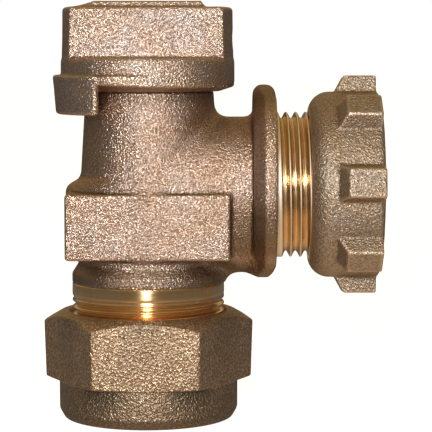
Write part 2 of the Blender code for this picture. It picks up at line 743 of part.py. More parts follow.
def make_tee_cap(material, axis):
    skirt = rod([
        (SKIRT_RADIUS - SKIRT_BEVEL_WIDTH, CAP_BASE),
        (SKIRT_RADIUS, CAP_BASE + SKIRT_BEVEL),
        (SKIRT_RADIUS, SKIRT_TOP),
        (HEAD_THICKNESS / 2, HEAD_BASE),
    ], FINE_SEGMENTS)
    cap = make_object("tee_cap", half_facet(skirt, FINE_SEGMENTS), material, axis)
    pocket = arc_block(
        STOP_LUG_INNER - SEAT_GAP, STOP_LUG_OUTER + SEAT_GAP,
        CAP_BASE - OVERLAP, BODY_TOP + STOP_LUG_HEIGHT + SEAT_GAP,
        STOP_LUG_PLACE - STOP_LUG_ANGLE / 2 - STOP_LUG_SLACK,
        KEY_TURN + STOP_LUG_ANGLE + 2 * STOP_LUG_SLACK,
    )
    socket = half_facet(rod([
        (STEM_BORE, CAP_BASE - OVERLAP),
        (STEM_BORE, TANG_TOP + SEAT_GAP),
    ]))
    sides = STEM_BORE + OVERLAP
    keeper = box(2 * sides, TANG_THICKNESS + 2 * RUNNING_GAP, CAP_BASE - 2 * OVERLAP, TANG_TOP + OVERLAP)
    boolean(cap, "UNION", "tab", tab())
    boolean(cap, "UNION", "tee_head", tee_head())
    boolean(cap, "UNION", "crown", crown())
    boolean(cap, "DIFFERENCE", "stop_pocket", pocket)
    tang_socket = make_object("tang_socket", socket)
    boolean(tang_socket, "INTERSECT", "tang_socket_flats", keeper)
    tang_socket.hide_render = True
    tang_socket.display_type = "WIRE"
    cut = cap.modifiers.new("tang_socket", "BOOLEAN")
    cut.operation = "DIFFERENCE"
    cut.object = tang_socket
    hole = cross_pin(PIN_RADIUS + RUNNING_GAP, 2 * (SKIRT_RADIUS + OVERLAP))
    boolean(cap, "DIFFERENCE", "cap_pin_hole", hole)


def make_cap_pin(material, axis):
    length = 2 * (HEAD_RADIUS - PIN_RECESS)
    make_object("cap_pin", cross_pin(PIN_RADIUS, length), material, axis)


def hex_loop(bm, shrink, height_of):
    """A loop round the hex whose height follows its distance from the axis."""
    loop = []
    for i in range(SEGMENTS):
        angle = math.tau * i / SEGMENTS
        from_flat = (angle % (math.pi / 3)) - math.pi / 6
        radius = (HALF_FLATS - shrink) / math.cos(from_flat)
        loop.append(bm.verts.new((radius * math.cos(angle), radius * math.sin(angle), height_of(radius))))
    return loop


def compression_nut():
    bm = bmesh.new()
    major = INLET_THREAD_RADIUS + THREAD_GAP
    minor = major - INLET_DEPTH
    top_slope = math.tan(math.radians(NUT_TOP_BEVEL))
    lower_slope = math.tan(math.radians(NUT_LOWER_BEVEL))
    top_radius = HALF_FLATS - NUT_TOP_STEP
    thread_low = SEAT_TOP + 2 * THREAD_LEAD
    thread_high = NUT_HEIGHT - THREAD_LEAD
    start = mesh_start(thread_low, INLET_THREAD_START, INLET_PITCH)
    turns = whole_turns(start, thread_high, INLET_PITCH)
    bore = [
        circle(bm, BORE_RADIUS, 0),
        circle(bm, BORE_RADIUS, NUT_LIP),
        circle(bm, SEAT_SMALL, NUT_LIP),
        circle(bm, SEAT_LARGE, SEAT_TOP),
        circle(bm, major, SEAT_TOP),
        circle(bm, major, thread_low - THREAD_LEAD),
    ]
    mouth = [circle(bm, major, thread_high), circle(bm, major + THREAD_LEAD, NUT_HEIGHT)]
    add_thread(bm, bore[-1], mouth[0], start, turns, INLET_PITCH, major, minor)
    outside = [
        circle(bm, top_radius, NUT_HEIGHT),
        hex_loop(bm, 0, lambda r: NUT_HEIGHT - (r - top_radius) * top_slope),
        hex_loop(bm, NUT_COLLAR_STEP / 2, lambda r: NUT_COLLAR_TOP + (r - COLLAR_RADIUS) * lower_slope),
        circle(bm, COLLAR_RADIUS, NUT_COLLAR_TOP),
    ]
    for i in range(ARC_STEPS):
        angle = math.pi / 2 * i / (ARC_STEPS - 1)
        radius = COLLAR_RADIUS - NUT_BOTTOM_ROUND * (1 - math.cos(angle))
        outside.append(circle(bm, radius, NUT_BOTTOM_ROUND * (1 - math.sin(angle))))
    skin(bm, bore)
    skin(bm, [*mouth, *outside, bore[0]])
    return bm


def make_compression_end(bronze, brass, steel, rubber, axis):
    make_object("compression_nut", compression_nut(), bronze, axis)
    low = NUT_LIP + SEAT_GAP
    high = SEAT_TOP - SEAT_GAP
    rise = SEAT_TAPER * (high - low) / NUT_SEAT_LENGTH
    small = SEAT_SMALL - SEAT_GAP
    gripper = turned(
        [(PASS_RADIUS, low), (small, low), (small + rise, high), (PASS_RADIUS, high)],
        split=GRIPPER_SPLIT / PASS_RADIUS,
    )
    make_object("gripper_ring", gripper, steel, axis)
    flat = washer(PASS_RADIUS, GASKET_RADIUS, GRIPPER_WASHER_THICKNESS)
    make_object("gripper_washer", flat, brass, axis, GRIPPER_WASHER_BASE)
    wire_space = 2 * (CONTINUITY_WIRE_RADIUS + SEAT_GAP)
    cone = GASKET_WALL - 2 * SEAT_GAP
    gasket = turned([
        (PASS_RADIUS + wire_space, GASKET_BASE),
        (GASKET_RADIUS, GASKET_BASE),
        (GASKET_RADIUS, GASKET_TOP),
        (GASKET_RADIUS - cone, GASKET_TOP + cone),
        (PASS_RADIUS, GASKET_TOP + cone),
        (PASS_RADIUS, GASKET_BASE + wire_space),
        (PASS_RADIUS + wire_space, GASKET_BASE + wire_space),
    ])
    make_object("compression_gasket", gasket, rubber)
    wire_middle = CONTINUITY_WIRE_RADIUS + SEAT_GAP
    spring = round_ring(PASS_RADIUS + wire_middle, CONTINUITY_WIRE_RADIUS)
    make_object("continuity_spring", spring, steel, height=GASKET_BASE + wire_middle)


def lugs():
    """Tapered lugs round the open end of the coupling nut, slanted at their inner ends."""
    bm = bmesh.new()
    root = COUPLING_RADIUS - OVERLAP
    tip = COUPLING_RADIUS + LUG_HEIGHT
    end = COUPLING_LENGTH - RUNNING_GAP
    foot = (root, LUG_BASE_WIDTH, LUG_START, end)
    head = (tip, LUG_TOP_WIDTH, LUG_START + LUG_SLANT, end - LUG_END_SLANT)
    for n in range(LUGS):
        angle = math.tau * n / LUGS + math.radians(LUG_TURN)
        cosine = math.cos(angle)
        sine = math.sin(angle)
        loops = []
        for radius, width, low, high in (foot, head):
            loop = []
            for side, height in ((-1, low), (1, low), (1, high), (-1, high)):
                across = side * width / 2
                x = radius * cosine - across * sine
                y = radius * sine + across * cosine
                loop.append(bm.verts.new((x, y, height)))
            loops.append(loop)
        skin(bm, loops)
        bm.faces.new(loops[0])
        bm.faces.new(loops[1])
    return bm


def coupling_nut():
    bm = bmesh.new()
    major = OUTLET_THREAD_RADIUS + THREAD_GAP
    minor = major - OUTLET_DEPTH
    thread_high = COUPLING_LENGTH - THREAD_LEAD
    start = mesh_start(COUPLING_LEAD + THREAD_LEAD, OUTLET_THREAD_START - COUPLING_START, OUTLET_PITCH)
    turns = whole_turns(start, thread_high, OUTLET_PITCH)
    centre = COUPLING_RADIUS - COUPLING_SHOULDER
    mouth = major + THREAD_LEAD
    first = math.asin((mouth - centre) / COUPLING_SHOULDER)
    outside = []
    for i in range(2 * ARC_STEPS):
        angle = first + (math.pi / 2 - first) * i / (2 * ARC_STEPS - 1)
        radius = centre + COUPLING_SHOULDER * math.sin(angle)
        outside.append(circle(bm, radius, COUPLING_SHOULDER * (1 - math.cos(angle))))
    outside.append(circle(bm, COUPLING_RADIUS, COUPLING_LENGTH))
    lower = circle(bm, major, COUPLING_LEAD)
    upper = circle(bm, major, thread_high)
    open_end = circle(bm, major + THREAD_LEAD, COUPLING_LENGTH)
    add_thread(bm, lower, upper, start, turns, OUTLET_PITCH, major, minor)
    skin(bm, [lower, *outside, open_end, upper])
    return bm


def make_outlet_end(bronze, rubber, outlet):
    nut = make_object("coupling_nut", coupling_nut(), bronze, outlet, COUPLING_START)
    boolean(nut, "UNION", "lugs", lugs(), outlet, COUPLING_START)
    gasket = washer(METER_GASKET_BORE, METER_GASKET_RADIUS, METER_GASKET_THICKNESS)
    make_object("meter_gasket", gasket, rubber, outlet, METER_GASKET_END - METER_GASKET_THICKNESS)


def main():
    clear_scene()
    bronze = make_material("cast_bronze", (0.42, 0.29, 0.19), 0.5, 1.0)
    nut_bronze = make_material("nut_bronze", (0.45, 0.31, 0.18), 0.5, 1.0)
    brass = make_material("machined_brass", (0.75, 0.53, 0.26), 0.25, 1.0)
    steel = make_material("stainless_steel", (0.62, 0.61, 0.59), 0.3, 1.0)
    rubber = make_material("black_rubber", (0.03, 0.03, 0.03), 0.7, 0.0)
    plastic = make_material("white_plastic", (0.85, 0.84, 0.8), 0.45, 0.0)

    key_axis = make_empty("key_axis", (0, 0, 0))
    nut_axis = make_empty("nut_axis", (0, 0, 0))
    # Along the outlet a piece's own +Z is the part's +X, and its +X points down
    outlet = make_empty("outlet_axis", (0, 0, OUTLET_AXIS_HEIGHT), (0, math.pi / 2, 0))

    make_valve_body(bronze, outlet)
    make_key(brass, key_axis, outlet)
    make_seals(rubber, plastic, key_axis, outlet)
    make_spring_stack(steel, brass)
    make_tee_cap(bronze, key_axis)
    make_cap_pin(brass, key_axis)
    make_compression_end(nut_bronze, brass, steel, rubber, nut_axis)
    make_outlet_end(bronze, rubber, outlet)


main()
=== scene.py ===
import json
import math
import bpy
import numpy as np
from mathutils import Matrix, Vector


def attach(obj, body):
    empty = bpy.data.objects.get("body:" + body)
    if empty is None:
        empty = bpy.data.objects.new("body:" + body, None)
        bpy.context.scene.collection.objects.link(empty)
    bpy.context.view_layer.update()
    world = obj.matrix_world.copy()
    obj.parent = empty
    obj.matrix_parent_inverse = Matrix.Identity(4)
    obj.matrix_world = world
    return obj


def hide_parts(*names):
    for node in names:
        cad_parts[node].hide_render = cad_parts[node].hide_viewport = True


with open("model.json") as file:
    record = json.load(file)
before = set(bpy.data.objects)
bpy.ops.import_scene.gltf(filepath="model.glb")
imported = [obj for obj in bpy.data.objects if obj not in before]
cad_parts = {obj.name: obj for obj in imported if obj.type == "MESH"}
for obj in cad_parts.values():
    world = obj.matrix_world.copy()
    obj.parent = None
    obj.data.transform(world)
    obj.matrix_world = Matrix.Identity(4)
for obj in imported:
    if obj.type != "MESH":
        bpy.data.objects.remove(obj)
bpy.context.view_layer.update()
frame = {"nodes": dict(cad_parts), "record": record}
print("frame loaded,", len(frame["nodes"]), "nodes")

mm = 0.001  # shapes are worked out in millimetres and put into the meshes in metres


# ways of joining distances

def softMin(a, b, soft):
    # the smaller of two distances, rounded over where they differ by less than soft
    share = np.clip(0.5 + 0.5 * (b - a) / soft, 0, 1)
    return b + (a - b) * share - soft * share * (1 - share)


def softMax(a, b, soft):
    # the larger of two distances, rounded over in the same way
    return -softMin(-a, -b, soft)


def easeStep(low, high, value):
    # runs smoothly from 0 at low to 1 at high
    share = np.clip((value - low) / (high - low), 0, 1)
    return share * share * (3 - 2 * share)


def grown(pair, share):
    # the pair's first value, and as much of its second as the share says
    return pair[0] + pair[1] * share


# ways of making a surface

skinFit = {
    "steps": 5,  # how often the points are moved onto the surface
    "slopeReach": 0.02, "leastSlope": 0.1, "longestMove": 0.5,  # the longest move is a share of the pitch
}
cornerRows = 5  # points along each rounded corner of an outline
cornerShare = 0.48  # of a side, so that the curves at its two ends never meet
leastLength = 1e-6
turnedEdge = 0.1  # rounding of an edge that a tool has turned


def castSkin(field, low, high, pitch):
    # the surface where a distance field is zero: one point in each block of a grid that the surface
    # crosses, at the mean of the crossings on the block's edges, then moved along the field's slope
    # onto the surface; one face across each grid edge that is cut
    axes = [np.arange(a, b + pitch, pitch) for a, b in zip(low, high)]
    value = field(*np.meshgrid(*axes, indexing="ij"))
    size = tuple(np.array(value.shape) - 1)
    total = np.zeros((3, *size))
    count = np.zeros(size)
    for axis in range(3):
        ahead, aside = (axis + 1) % 3, (axis + 2) % 3
        for near in range(4):
            start = np.zeros(3, int)
            start[ahead], start[aside] = near // 2, near % 2
            stop = start.copy()
            stop[axis] = 1
            a = value[tuple(slice(s, s + n) for s, n in zip(start, size))]
            b = value[tuple(slice(s, s + n) for s, n in zip(stop, size))]
            cut = (a < 0) != (b < 0)
            total[axis] += np.where(cut, a / np.where(cut, a - b, 1), 0)
            total[ahead] += cut * start[ahead]
            total[aside] += cut * start[aside]
            count += cut
    live = count > 0
    number = np.full(size, -1)
    number[live] = np.arange(live.sum())
    within = total[:, live] / count[live]
    points = np.array(low)[:, None] + pitch * (np.array(np.nonzero(live)) + within)
    faces = []
    for axis in range(3):
        ahead, aside = (axis + 1) % 3, (axis + 2) % 3
        window = [slice(1, -1)] * 3
        window[axis] = slice(0, -1)
        a = value[tuple(window)]
        window[axis] = slice(1, None)
        b = value[tuple(window)]
        cut = (a < 0) != (b < 0)
        base = np.array(np.nonzero(cut))
        base[ahead] += 1
        base[aside] += 1
        step = np.eye(3, dtype=int)[:, :, None]
        quad = np.stack([
            number[tuple(base - step[ahead] - step[aside])],
            number[tuple(base - step[aside])],
            number[tuple(base)],
            number[tuple(base - step[ahead])],
        ], axis=1)
        turned = a[cut] >= 0
        quad[turned] = quad[turned][:, ::-1]
        faces.append(quad)
    longest = skinFit["longestMove"] * pitch
    for again in range(skinFit["steps"]):
        slope = fieldSlope(field, points, skinFit["slopeReach"])
        move = slope * field(*points) / np.maximum((slope ** 2).sum(0), skinFit["leastSlope"])
        points = points - np.clip(move, -longest, longest)
    return points, np.concatenate(faces)


def fieldSlope(field, points, reach):
    # difference of the field over a short reach either way, along each axis
    shifts = np.eye(3)[:, :, None] * reach
    return np.array([field(*(points + s)) - field(*(points - s)) for s in shifts]) / (2 * reach)


def fieldBend(field, points, reach):
    # mean bend of the surface: above zero on an outer edge, below zero in a fillet
    shifts = np.eye(3)[:, :, None] * reach
    around = sum(field(*(points + s)) + field(*(points - s)) for s in shifts)
    return (around - 6 * field(*points)) / reach ** 2


def ringSkin(radius, height, angle):
    # a closed outline, given as rows of radius and height at each angle, carried all the way round
    rows, columns = radius.shape
    points = np.stack([radius * np.cos(angle), radius * np.sin(angle), height]).reshape(3, -1)
    index = np.arange(rows * columns).reshape(rows, columns)
    up = np.roll(index, -1, axis=0)
    on = np.roll(index, -1, axis=1)
    faces = np.stack([index, on, np.roll(up, -1, axis=1), up], axis=-1).reshape(-1, 4)
    return points, faces


def roundedOutline(corners, columns):
    # corners are (radius, height, rounding); each corner becomes a short curve between points on its
    # two sides, a parabola that leaves and meets the sides along them
    def spread(which):
        return np.stack([np.broadcast_to(c[which], columns) for c in corners]).astype(float)

    spot = np.stack([spread(0), spread(1)])
    rounding = spread(2)

    def reach(side):
        length = np.maximum(np.hypot(*side), leastLength)
        return spot + side * np.minimum(rounding / length, cornerShare)

    come = reach(np.roll(spot, 1, axis=1) - spot)[:, :, None]
    leave = reach(np.roll(spot, -1, axis=1) - spot)[:, :, None]
    t = np.linspace(0, 1, cornerRows)[None, None, :, None]
    return (1 - t) ** 2 * come + 2 * t * (1 - t) * spot[:, :, None] + t ** 2 * leave


def threadedSkin(screw, corners, angle):
    # rows of a screw and of the outline that closes it, carried round: the first and last corners are the
    # screw's own ends, and a corner without a rounding is a turned edge
    columns = angle.shape[1]
    rounded = [(*corner, turnedEdge)[:3] for corner in corners]
    rest = roundedOutline(rounded, columns)[:, 1:-1].reshape(2, -1, columns)
    radius, height = [np.concatenate(rows) for rows in zip(screw, rest)]
    return radius, *ringSkin(radius, height, angle)


def alongOutlet(points, axisZ):
    # turns a shape made round Z so that its axis lies along X and its angle starts from straight down
    return np.stack([points[2], points[1], axisZ - points[0]])


def makePiece(name, points, faces, material, body, nodes, marks=None):
    # puts whole arrays into a mesh, with a value at each point for every mark, hangs it from its body's
    # empty and hides the nodes it replaces
    mesh = bpy.data.meshes.new(name)
    corner = faces.ravel()
    mesh.vertices.add(points.shape[1])
    mesh.vertices.foreach_set("co", (points.T * mm).astype(np.float32).ravel())
    mesh.loops.add(len(corner))
    mesh.loops.foreach_set("vertex_index", corner.astype(np.int32))
    mesh.polygons.add(len(faces))
    mesh.polygons.foreach_set("loop_start", np.arange(0, len(corner), 4, dtype=np.int32))
    mesh.polygons.foreach_set("use_smooth", np.ones(len(faces), bool))
    mesh.update(calc_edges=True)
    mesh.validate()
    for mark, values in (marks or {}).items():
        attribute = mesh.attributes.new(mark, "FLOAT", "POINT")
        attribute.data.foreach_set("value", np.ascontiguousarray(values, np.float32))
    mesh.materials.append(material)
    piece = bpy.data.objects.new(name, mesh)
    bpy.context.scene.collection.objects.link(piece)
    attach(piece, body)
    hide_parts(*nodes)
    print(name, len(faces) * 2, "triangles")


# finishes

nodeGrid = {"perRow": 8, "wide": 200, "tall": 320}  # how nodes are set out, left of the shader


def addNode(tree, kind, **settings):
    # one node with its settings; nodes are set out in rows, in the order in which they are made
    down, across = divmod(len(tree.nodes), nodeGrid["perRow"])
    node = tree.nodes.new(kind)
    node.location = ((across - nodeGrid["perRow"]) * nodeGrid["wide"], -down * nodeGrid["tall"])
    for key, value in settings.items():
        setattr(node, key, value)
    return node


def mathNode(tree, operation, first, second=None, third=None):
    # one sum on numbers or on what other nodes put out
    node = addNode(tree, "ShaderNodeMath", operation=operation)
    for socket, value in zip(node.inputs, (first, second, third)):
        if isinstance(value, (int, float)):
            socket.default_value = value
        elif value is not None:
            tree.links.new(value, socket)
    return node.outputs[0]


def mixColour(tree, share, first, second, blend="MIX"):
    # the first colour turning into the second, or being multiplied by it, as the share grows
    node = addNode(tree, "ShaderNodeMix", data_type="RGBA", blend_type=blend)
    for socket, value in ((node.inputs[0], share), (node.inputs[6], first), (node.inputs[7], second)):
        if isinstance(value, tuple):
            socket.default_value = (*value, 1)
        else:
            tree.links.new(value, socket)
    return node.outputs[2]


def rangeNode(tree, value, low, high, newLow=0, newHigh=1):
    # a smooth step from the new low value to the new high one
    node = addNode(tree, "ShaderNodeMapRange", interpolation_type="SMOOTHSTEP")
    tree.links.new(value, node.inputs[0])
    for socket, number in zip(list(node.inputs)[1:5], (low, high, newLow, newHigh)):
        socket.default_value = number
    return node.outputs[0]


def noiseNode(tree, vector, scale, detail, rough=0.5):
    # a noise whose scale is a number or what another node puts out
    node = addNode(tree, "ShaderNodeTexNoise")
    tree.links.new(vector, node.inputs["Vector"])
    if isinstance(scale, (int, float)):
        node.inputs["Scale"].default_value = scale
    else:
        tree.links.new(scale, node.inputs["Scale"])
    node.inputs["Detail"].default_value = detail
    node.inputs["Roughness"].default_value = rough
    return node.outputs["Fac"]


def newGroup(name, inputs, outputs):
    # an empty node group with its sockets
    tree = bpy.data.node_groups.new(name, "ShaderNodeTree")
    for label, kind, value in inputs:
        socket = tree.interface.new_socket(label, in_out="INPUT", socket_type=kind)
        if value is not None:
            socket.default_value = value
    for label in outputs:
        tree.interface.new_socket(label, in_out="OUTPUT", socket_type="NodeSocketFloat")
    return tree, addNode(tree, "NodeGroupInput"), tree.nodes.new("NodeGroupOutput")


sandMix = {
    "finer": 2.1, "lumps": 0.8, "swell": 0.22,  # how fine each layer is, against the grain
    "lumpSmooth": 0.6, "finerHeight": 0.2, "swellHeight": 0.35, "finerSpeck": 0.5,
    "speckRange": (0.22, 0.93), "patchRange": (0.36, 0.64), "patchRough": 0.6,
}


def sandGrainGroup():
    # what the sand of the mould leaves: clumped grain, small pits, and broad patches of tone
    tree, given, out = newGroup("sandGrain", [
        ("Vector", "NodeSocketVector", None),
        ("Grain", "NodeSocketFloat", 1300.0),
        ("Patch", "NodeSocketFloat", 160.0),
        ("Lump", "NodeSocketFloat", 0.4),
    ], ["Height", "Speck", "Patch"])
    vector, grain = given.outputs["Vector"], given.outputs["Grain"]
    finerScale = mathNode(tree, "MULTIPLY", grain, sandMix["finer"])
    lumpScale = mathNode(tree, "MULTIPLY", grain, sandMix["lumps"])
    swellScale = mathNode(tree, "MULTIPLY", grain, sandMix["swell"])
    clump = noiseNode(tree, vector, grain, detail=1.0)
    finer = noiseNode(tree, vector, finerScale, detail=1.0)
    lumps = addNode(tree, "ShaderNodeTexVoronoi", feature="SMOOTH_F1")
    tree.links.new(vector, lumps.inputs["Vector"])
    tree.links.new(lumpScale, lumps.inputs["Scale"])
    lumps.inputs["Smoothness"].default_value = sandMix["lumpSmooth"]
    swell = noiseNode(tree, vector, swellScale, detail=2.0)
    height = mathNode(tree, "MULTIPLY_ADD", finer, sandMix["finerHeight"], clump)
    bulge = mathNode(tree, "MULTIPLY", lumps.outputs["Distance"], given.outputs["Lump"])
    height = mathNode(tree, "SUBTRACT", height, bulge)
    height = mathNode(tree, "MULTIPLY_ADD", swell, sandMix["swellHeight"], height)
    tree.links.new(height, out.inputs["Height"])
    speck = mathNode(tree, "MULTIPLY_ADD", finer, sandMix["finerSpeck"], clump)
    speck = mathNode(tree, "SUBTRACT", speck, bulge)
    tree.links.new(rangeNode(tree, speck, *sandMix["speckRange"]), out.inputs["Speck"])
    patch = noiseNode(tree, vector, given.outputs["Patch"], detail=3.0, rough=sandMix["patchRough"])
    tree.links.new(rangeNode(tree, patch, *sandMix["patchRange"]), out.inputs["Patch"])
    return tree


ringMix = {
    "round": 40.0,  # scale round the axis, low so that the noise is drawn out into rings
    "ringRough": 0.6, "streakRange": (0.35, 0.65),
    "stain": 330.0, "stainRough": 0.65, "stainRange": (0.42, 0.68),
}


def turningMarksGroup():
    # fine rings left by the tool: noise drawn out round the Z axis of the vector that is given
    tree, given, out = newGroup("turningMarks", [
        ("Vector", "NodeSocketVector", None),
        ("Feed", "NodeSocketFloat", 5200.0),
    ], ["Height", "Streak", "Stain"])
    vector = given.outputs["Vector"]
    parts = addNode(tree, "ShaderNodeSeparateXYZ")
    tree.links.new(vector, parts.inputs[0])
    drawn = addNode(tree, "ShaderNodeCombineXYZ")
    for axis, scale in enumerate((ringMix["round"], ringMix["round"], given.outputs["Feed"])):
        stretched = mathNode(tree, "MULTIPLY", parts.outputs[axis], scale)
        tree.links.new(stretched, drawn.inputs[axis])
    rings = noiseNode(tree, drawn.outputs[0], 1.0, detail=2.0, rough=ringMix["ringRough"])
    tree.links.new(rings, out.inputs["Height"])
    tree.links.new(rangeNode(tree, rings, *ringMix["streakRange"]), out.inputs["Streak"])
    stain = noiseNode(tree, vector, ringMix["stain"], detail=4.0, rough=ringMix["stainRough"])
    tree.links.new(rangeNode(tree, stain, *ringMix["stainRange"]), out.inputs["Stain"])
    return tree


sandGrain = sandGrainGroup()
turningMarks = turningMarksGroup()


def newMaterial(name):
    # a material with its shader, and the object's own coordinates for patterns
    material = bpy.data.materials.new(name)
    material.use_nodes = True
    tree = material.node_tree
    shader = tree.nodes["Principled BSDF"]
    place = addNode(tree, "ShaderNodeTexCoord").outputs["Object"]
    return material, tree, shader, place


def groupNode(tree, group, vector, **values):
    # one use of a node group, with this material's values
    node = addNode(tree, "ShaderNodeGroup", node_tree=group)
    tree.links.new(vector, node.inputs["Vector"])
    for label, value in values.items():
        node.inputs[label].default_value = value
    return node.outputs


def markNode(tree, name):
    # a mark that the mesh carries at each point, 0 where it has none
    return addNode(tree, "ShaderNodeAttribute", attribute_name=name).outputs["Fac"]


def reliefNode(tree, shader, height, look):
    # relief of the surface, without a change of its shape
    bump = addNode(tree, "ShaderNodeBump")
    bump.inputs["Strength"].default_value = look["relief"]
    bump.inputs["Distance"].default_value = look["depth"]
    tree.links.new(height, bump.inputs["Height"])
    tree.links.new(bump.outputs[0], shader.inputs["Normal"])


def castMetal(name, look):
    # cast metal: grain in colour, gloss and relief, painted shade in the hollows, brighter on worn edges,
    # and plain turned metal where a tool has cut
    material, tree, shader, place = newMaterial(name)
    grain = groupNode(tree, sandGrain, place, Grain=look["grain"], Patch=look["patch"], Lump=look["lump"])
    rings = groupNode(tree, turningMarks, place)
    hollowShade = markNode(tree, "hollowShade")
    edge = markNode(tree, "edge")
    machined = markNode(tree, "machined")
    colour = mixColour(tree, grain["Speck"], look["dark"], look["light"])
    colour = mixColour(tree, grain["Patch"], colour, look["tone"], "MULTIPLY")
    colour = mixColour(tree, edge, colour, look["wearAndHighlight"])
    colour = mixColour(tree, hollowShade, colour, look["paintedShade"])
    cut = mixColour(tree, rings["Streak"], look["cutDark"], look["cutLight"])
    colour = mixColour(tree, machined, colour, cut)
    tree.links.new(colour, shader.inputs["Base Color"])
    gloss = rangeNode(tree, grain["Speck"], 0, 1, look["rough"], look["bright"])
    gloss = mathNode(tree, "MULTIPLY_ADD", edge, look["edgeRough"], gloss)
    plain = mathNode(tree, "SUBTRACT", 1.0, machined)
    gloss = mathNode(tree, "MULTIPLY", gloss, plain)
    gloss = mathNode(tree, "MULTIPLY_ADD", machined, look["cutRough"], gloss)
    tree.links.new(gloss, shader.inputs["Roughness"])
    relief = mathNode(tree, "MULTIPLY", grain["Height"], plain)
    relief = mathNode(tree, "MULTIPLY_ADD", rings["Height"], look["cutRelief"], relief)
    reliefNode(tree, shader, relief, look)
    shader.inputs["Metallic"].default_value = 1.0
    shader.inputs["Specular Tint"].default_value = (*look["rim"], 1)  # dull metal mirrors less at a slant
    return material


def turnedMetal(name, look, axis="Z", turn=(0, 0, 0)):
    # turned metal: fine rings in gloss, tone and relief that draw the highlights out, and a faint tarnish
    material, tree, shader, place = newMaterial(name)
    mapping = addNode(tree, "ShaderNodeMapping")
    mapping.inputs["Rotation"].default_value = turn
    tree.links.new(place, mapping.inputs["Vector"])
    rings = groupNode(tree, turningMarks, mapping.outputs[0], Feed=look["feed"])
    colour = mixColour(tree, rings["Streak"], look["dark"], look["light"])
    colour = mixColour(tree, rings["Stain"], colour, look["tarnish"], "MULTIPLY")
    # the hollow mark paints shade into a thread's grooves, and the edge mark colours its worn ridges and
    # paints a highlight along its roots
    hollowShade = markNode(tree, "hollowShade")
    colour = mixColour(tree, hollowShade, colour, look["paintedShade"])
    edge = markNode(tree, "edge")
    colour = mixColour(tree, edge, colour, look["wearAndHighlight"])
    tree.links.new(colour, shader.inputs["Base Color"])
    gloss = rangeNode(tree, rings["Streak"], 0, 1, look["rough"], look["bright"])
    gloss = mathNode(tree, "MULTIPLY_ADD", rings["Stain"], look["stainRough"], gloss)
    gloss = mathNode(tree, "MULTIPLY_ADD", edge, look["edgeRough"], gloss)
    tree.links.new(gloss, shader.inputs["Roughness"])
    reliefNode(tree, shader, rings["Height"], look)
    around = addNode(tree, "ShaderNodeTangent", direction_type="RADIAL", axis=axis)
    tree.links.new(around.outputs[0], shader.inputs["Tangent"])
    shader.inputs["Anisotropic"].default_value = look["drawn"]
    shader.inputs["Anisotropic Rotation"].default_value = look["drawnTurn"]
    shader.inputs["Metallic"].default_value = 1.0
    return material


def mouldedStuff(name, look):
    # rubber or plastic: a little dust, flow and pitting of the mould
    material, tree, shader, place = newMaterial(name)
    grain = groupNode(tree, sandGrain, place, Grain=look["grain"], Patch=look["patch"])
    colour = mixColour(tree, grain["Speck"], look["dark"], look["light"])
    colour = mixColour(tree, grain["Patch"], colour, look["tone"], "MULTIPLY")
    tree.links.new(colour, shader.inputs["Base Color"])
    gloss = rangeNode(tree, grain["Patch"], 0, 1, look["rough"], look["bright"])
    tree.links.new(gloss, shader.inputs["Roughness"])
    reliefNode(tree, shader, grain["Height"], look)
    return material


# grain, patch and feed are scales of patterns per metre, depth is the relief in metres, and rough and
# bright are the roughness in the dark and in the light of the pattern
castLook = {
    "dark": (0.31, 0.211, 0.155), "light": (0.76, 0.595, 0.513), "tone": (1.0, 0.92, 0.82),
    # next: the colour of rubbed edges, the colour of painted shade in hollows, and the tint of slanting
    # reflections
    "wearAndHighlight": (0.84, 0.66, 0.5), "paintedShade": (0.16, 0.11, 0.06), "rim": (0.66, 0.62, 0.58),
    "rough": 0.4, "bright": 0.27, "edgeRough": -0.08, "relief": 1.0, "depth": 0.00025,
    "grain": 3100.0, "patch": 150.0, "lump": 0.4,
    "cutDark": (0.62, 0.42, 0.19), "cutLight": (0.82, 0.6, 0.33), "cutRough": 0.3, "cutRelief": 0.03,
}
capLook = dict(castLook, dark=(0.37, 0.275, 0.225), light=(0.77, 0.635, 0.575))
nutLook = dict(castLook, dark=(0.4, 0.27, 0.178), light=(1.0, 0.775, 0.55), tone=(1.0, 0.97, 0.93),
               paintedShade=(0.15, 0.125, 0.095), rim=(1.0, 1.0, 1.0), rough=0.49, bright=0.36, depth=0.00026,
               grain=2400.0, lump=0.75)
lugLook = dict(castLook, dark=(0.29, 0.225, 0.165), light=(0.60, 0.495, 0.4), rough=0.6, bright=0.46,
               grain=2500.0)
brassLook = {
    "dark": (0.95, 0.57, 0.26), "light": (1.0, 0.71, 0.39), "tarnish": (0.97, 0.91, 0.83),
    # next: the colour of painted shade in thread grooves, and the colour of worn ridges, also used for a
    # painted highlight along thread roots
    "paintedShade": (0.6, 0.38, 0.14), "wearAndHighlight": (0.98, 0.84, 0.6), "rough": 0.24, "bright": 0.18,
    "edgeRough": 0.22, "stainRough": 0.03, "relief": 0.1, "depth": 0.0001, "feed": 5200.0,
    "drawn": 0.85, "drawnTurn": 0.25,
}
threadLook = dict(brassLook, dark=(0.66, 0.48, 0.285), light=(0.84, 0.645, 0.42), paintedShade=(0.5, 0.3, 0.11),
                  wearAndHighlight=(1.0, 0.9, 0.74), rough=0.2, bright=0.14, edgeRough=0.46, relief=0.15, drawn=0.15)
steelLook = dict(brassLook, dark=(0.46, 0.45, 0.43), light=(0.68, 0.67, 0.65), tarnish=(0.95, 0.94, 0.92),
                 paintedShade=(0.2, 0.2, 0.2), wearAndHighlight=(0.7, 0.7, 0.68), rough=0.36, bright=0.24, relief=0.12,
                 feed=6500.0, drawn=0.5)
rubberLook = {
    "dark": (0.012, 0.012, 0.013), "light": (0.04, 0.04, 0.041), "tone": (0.85, 0.86, 0.88),
    "rough": 0.5, "bright": 0.68, "relief": 0.3, "depth": 0.00008, "grain": 2600.0, "patch": 240.0,
}
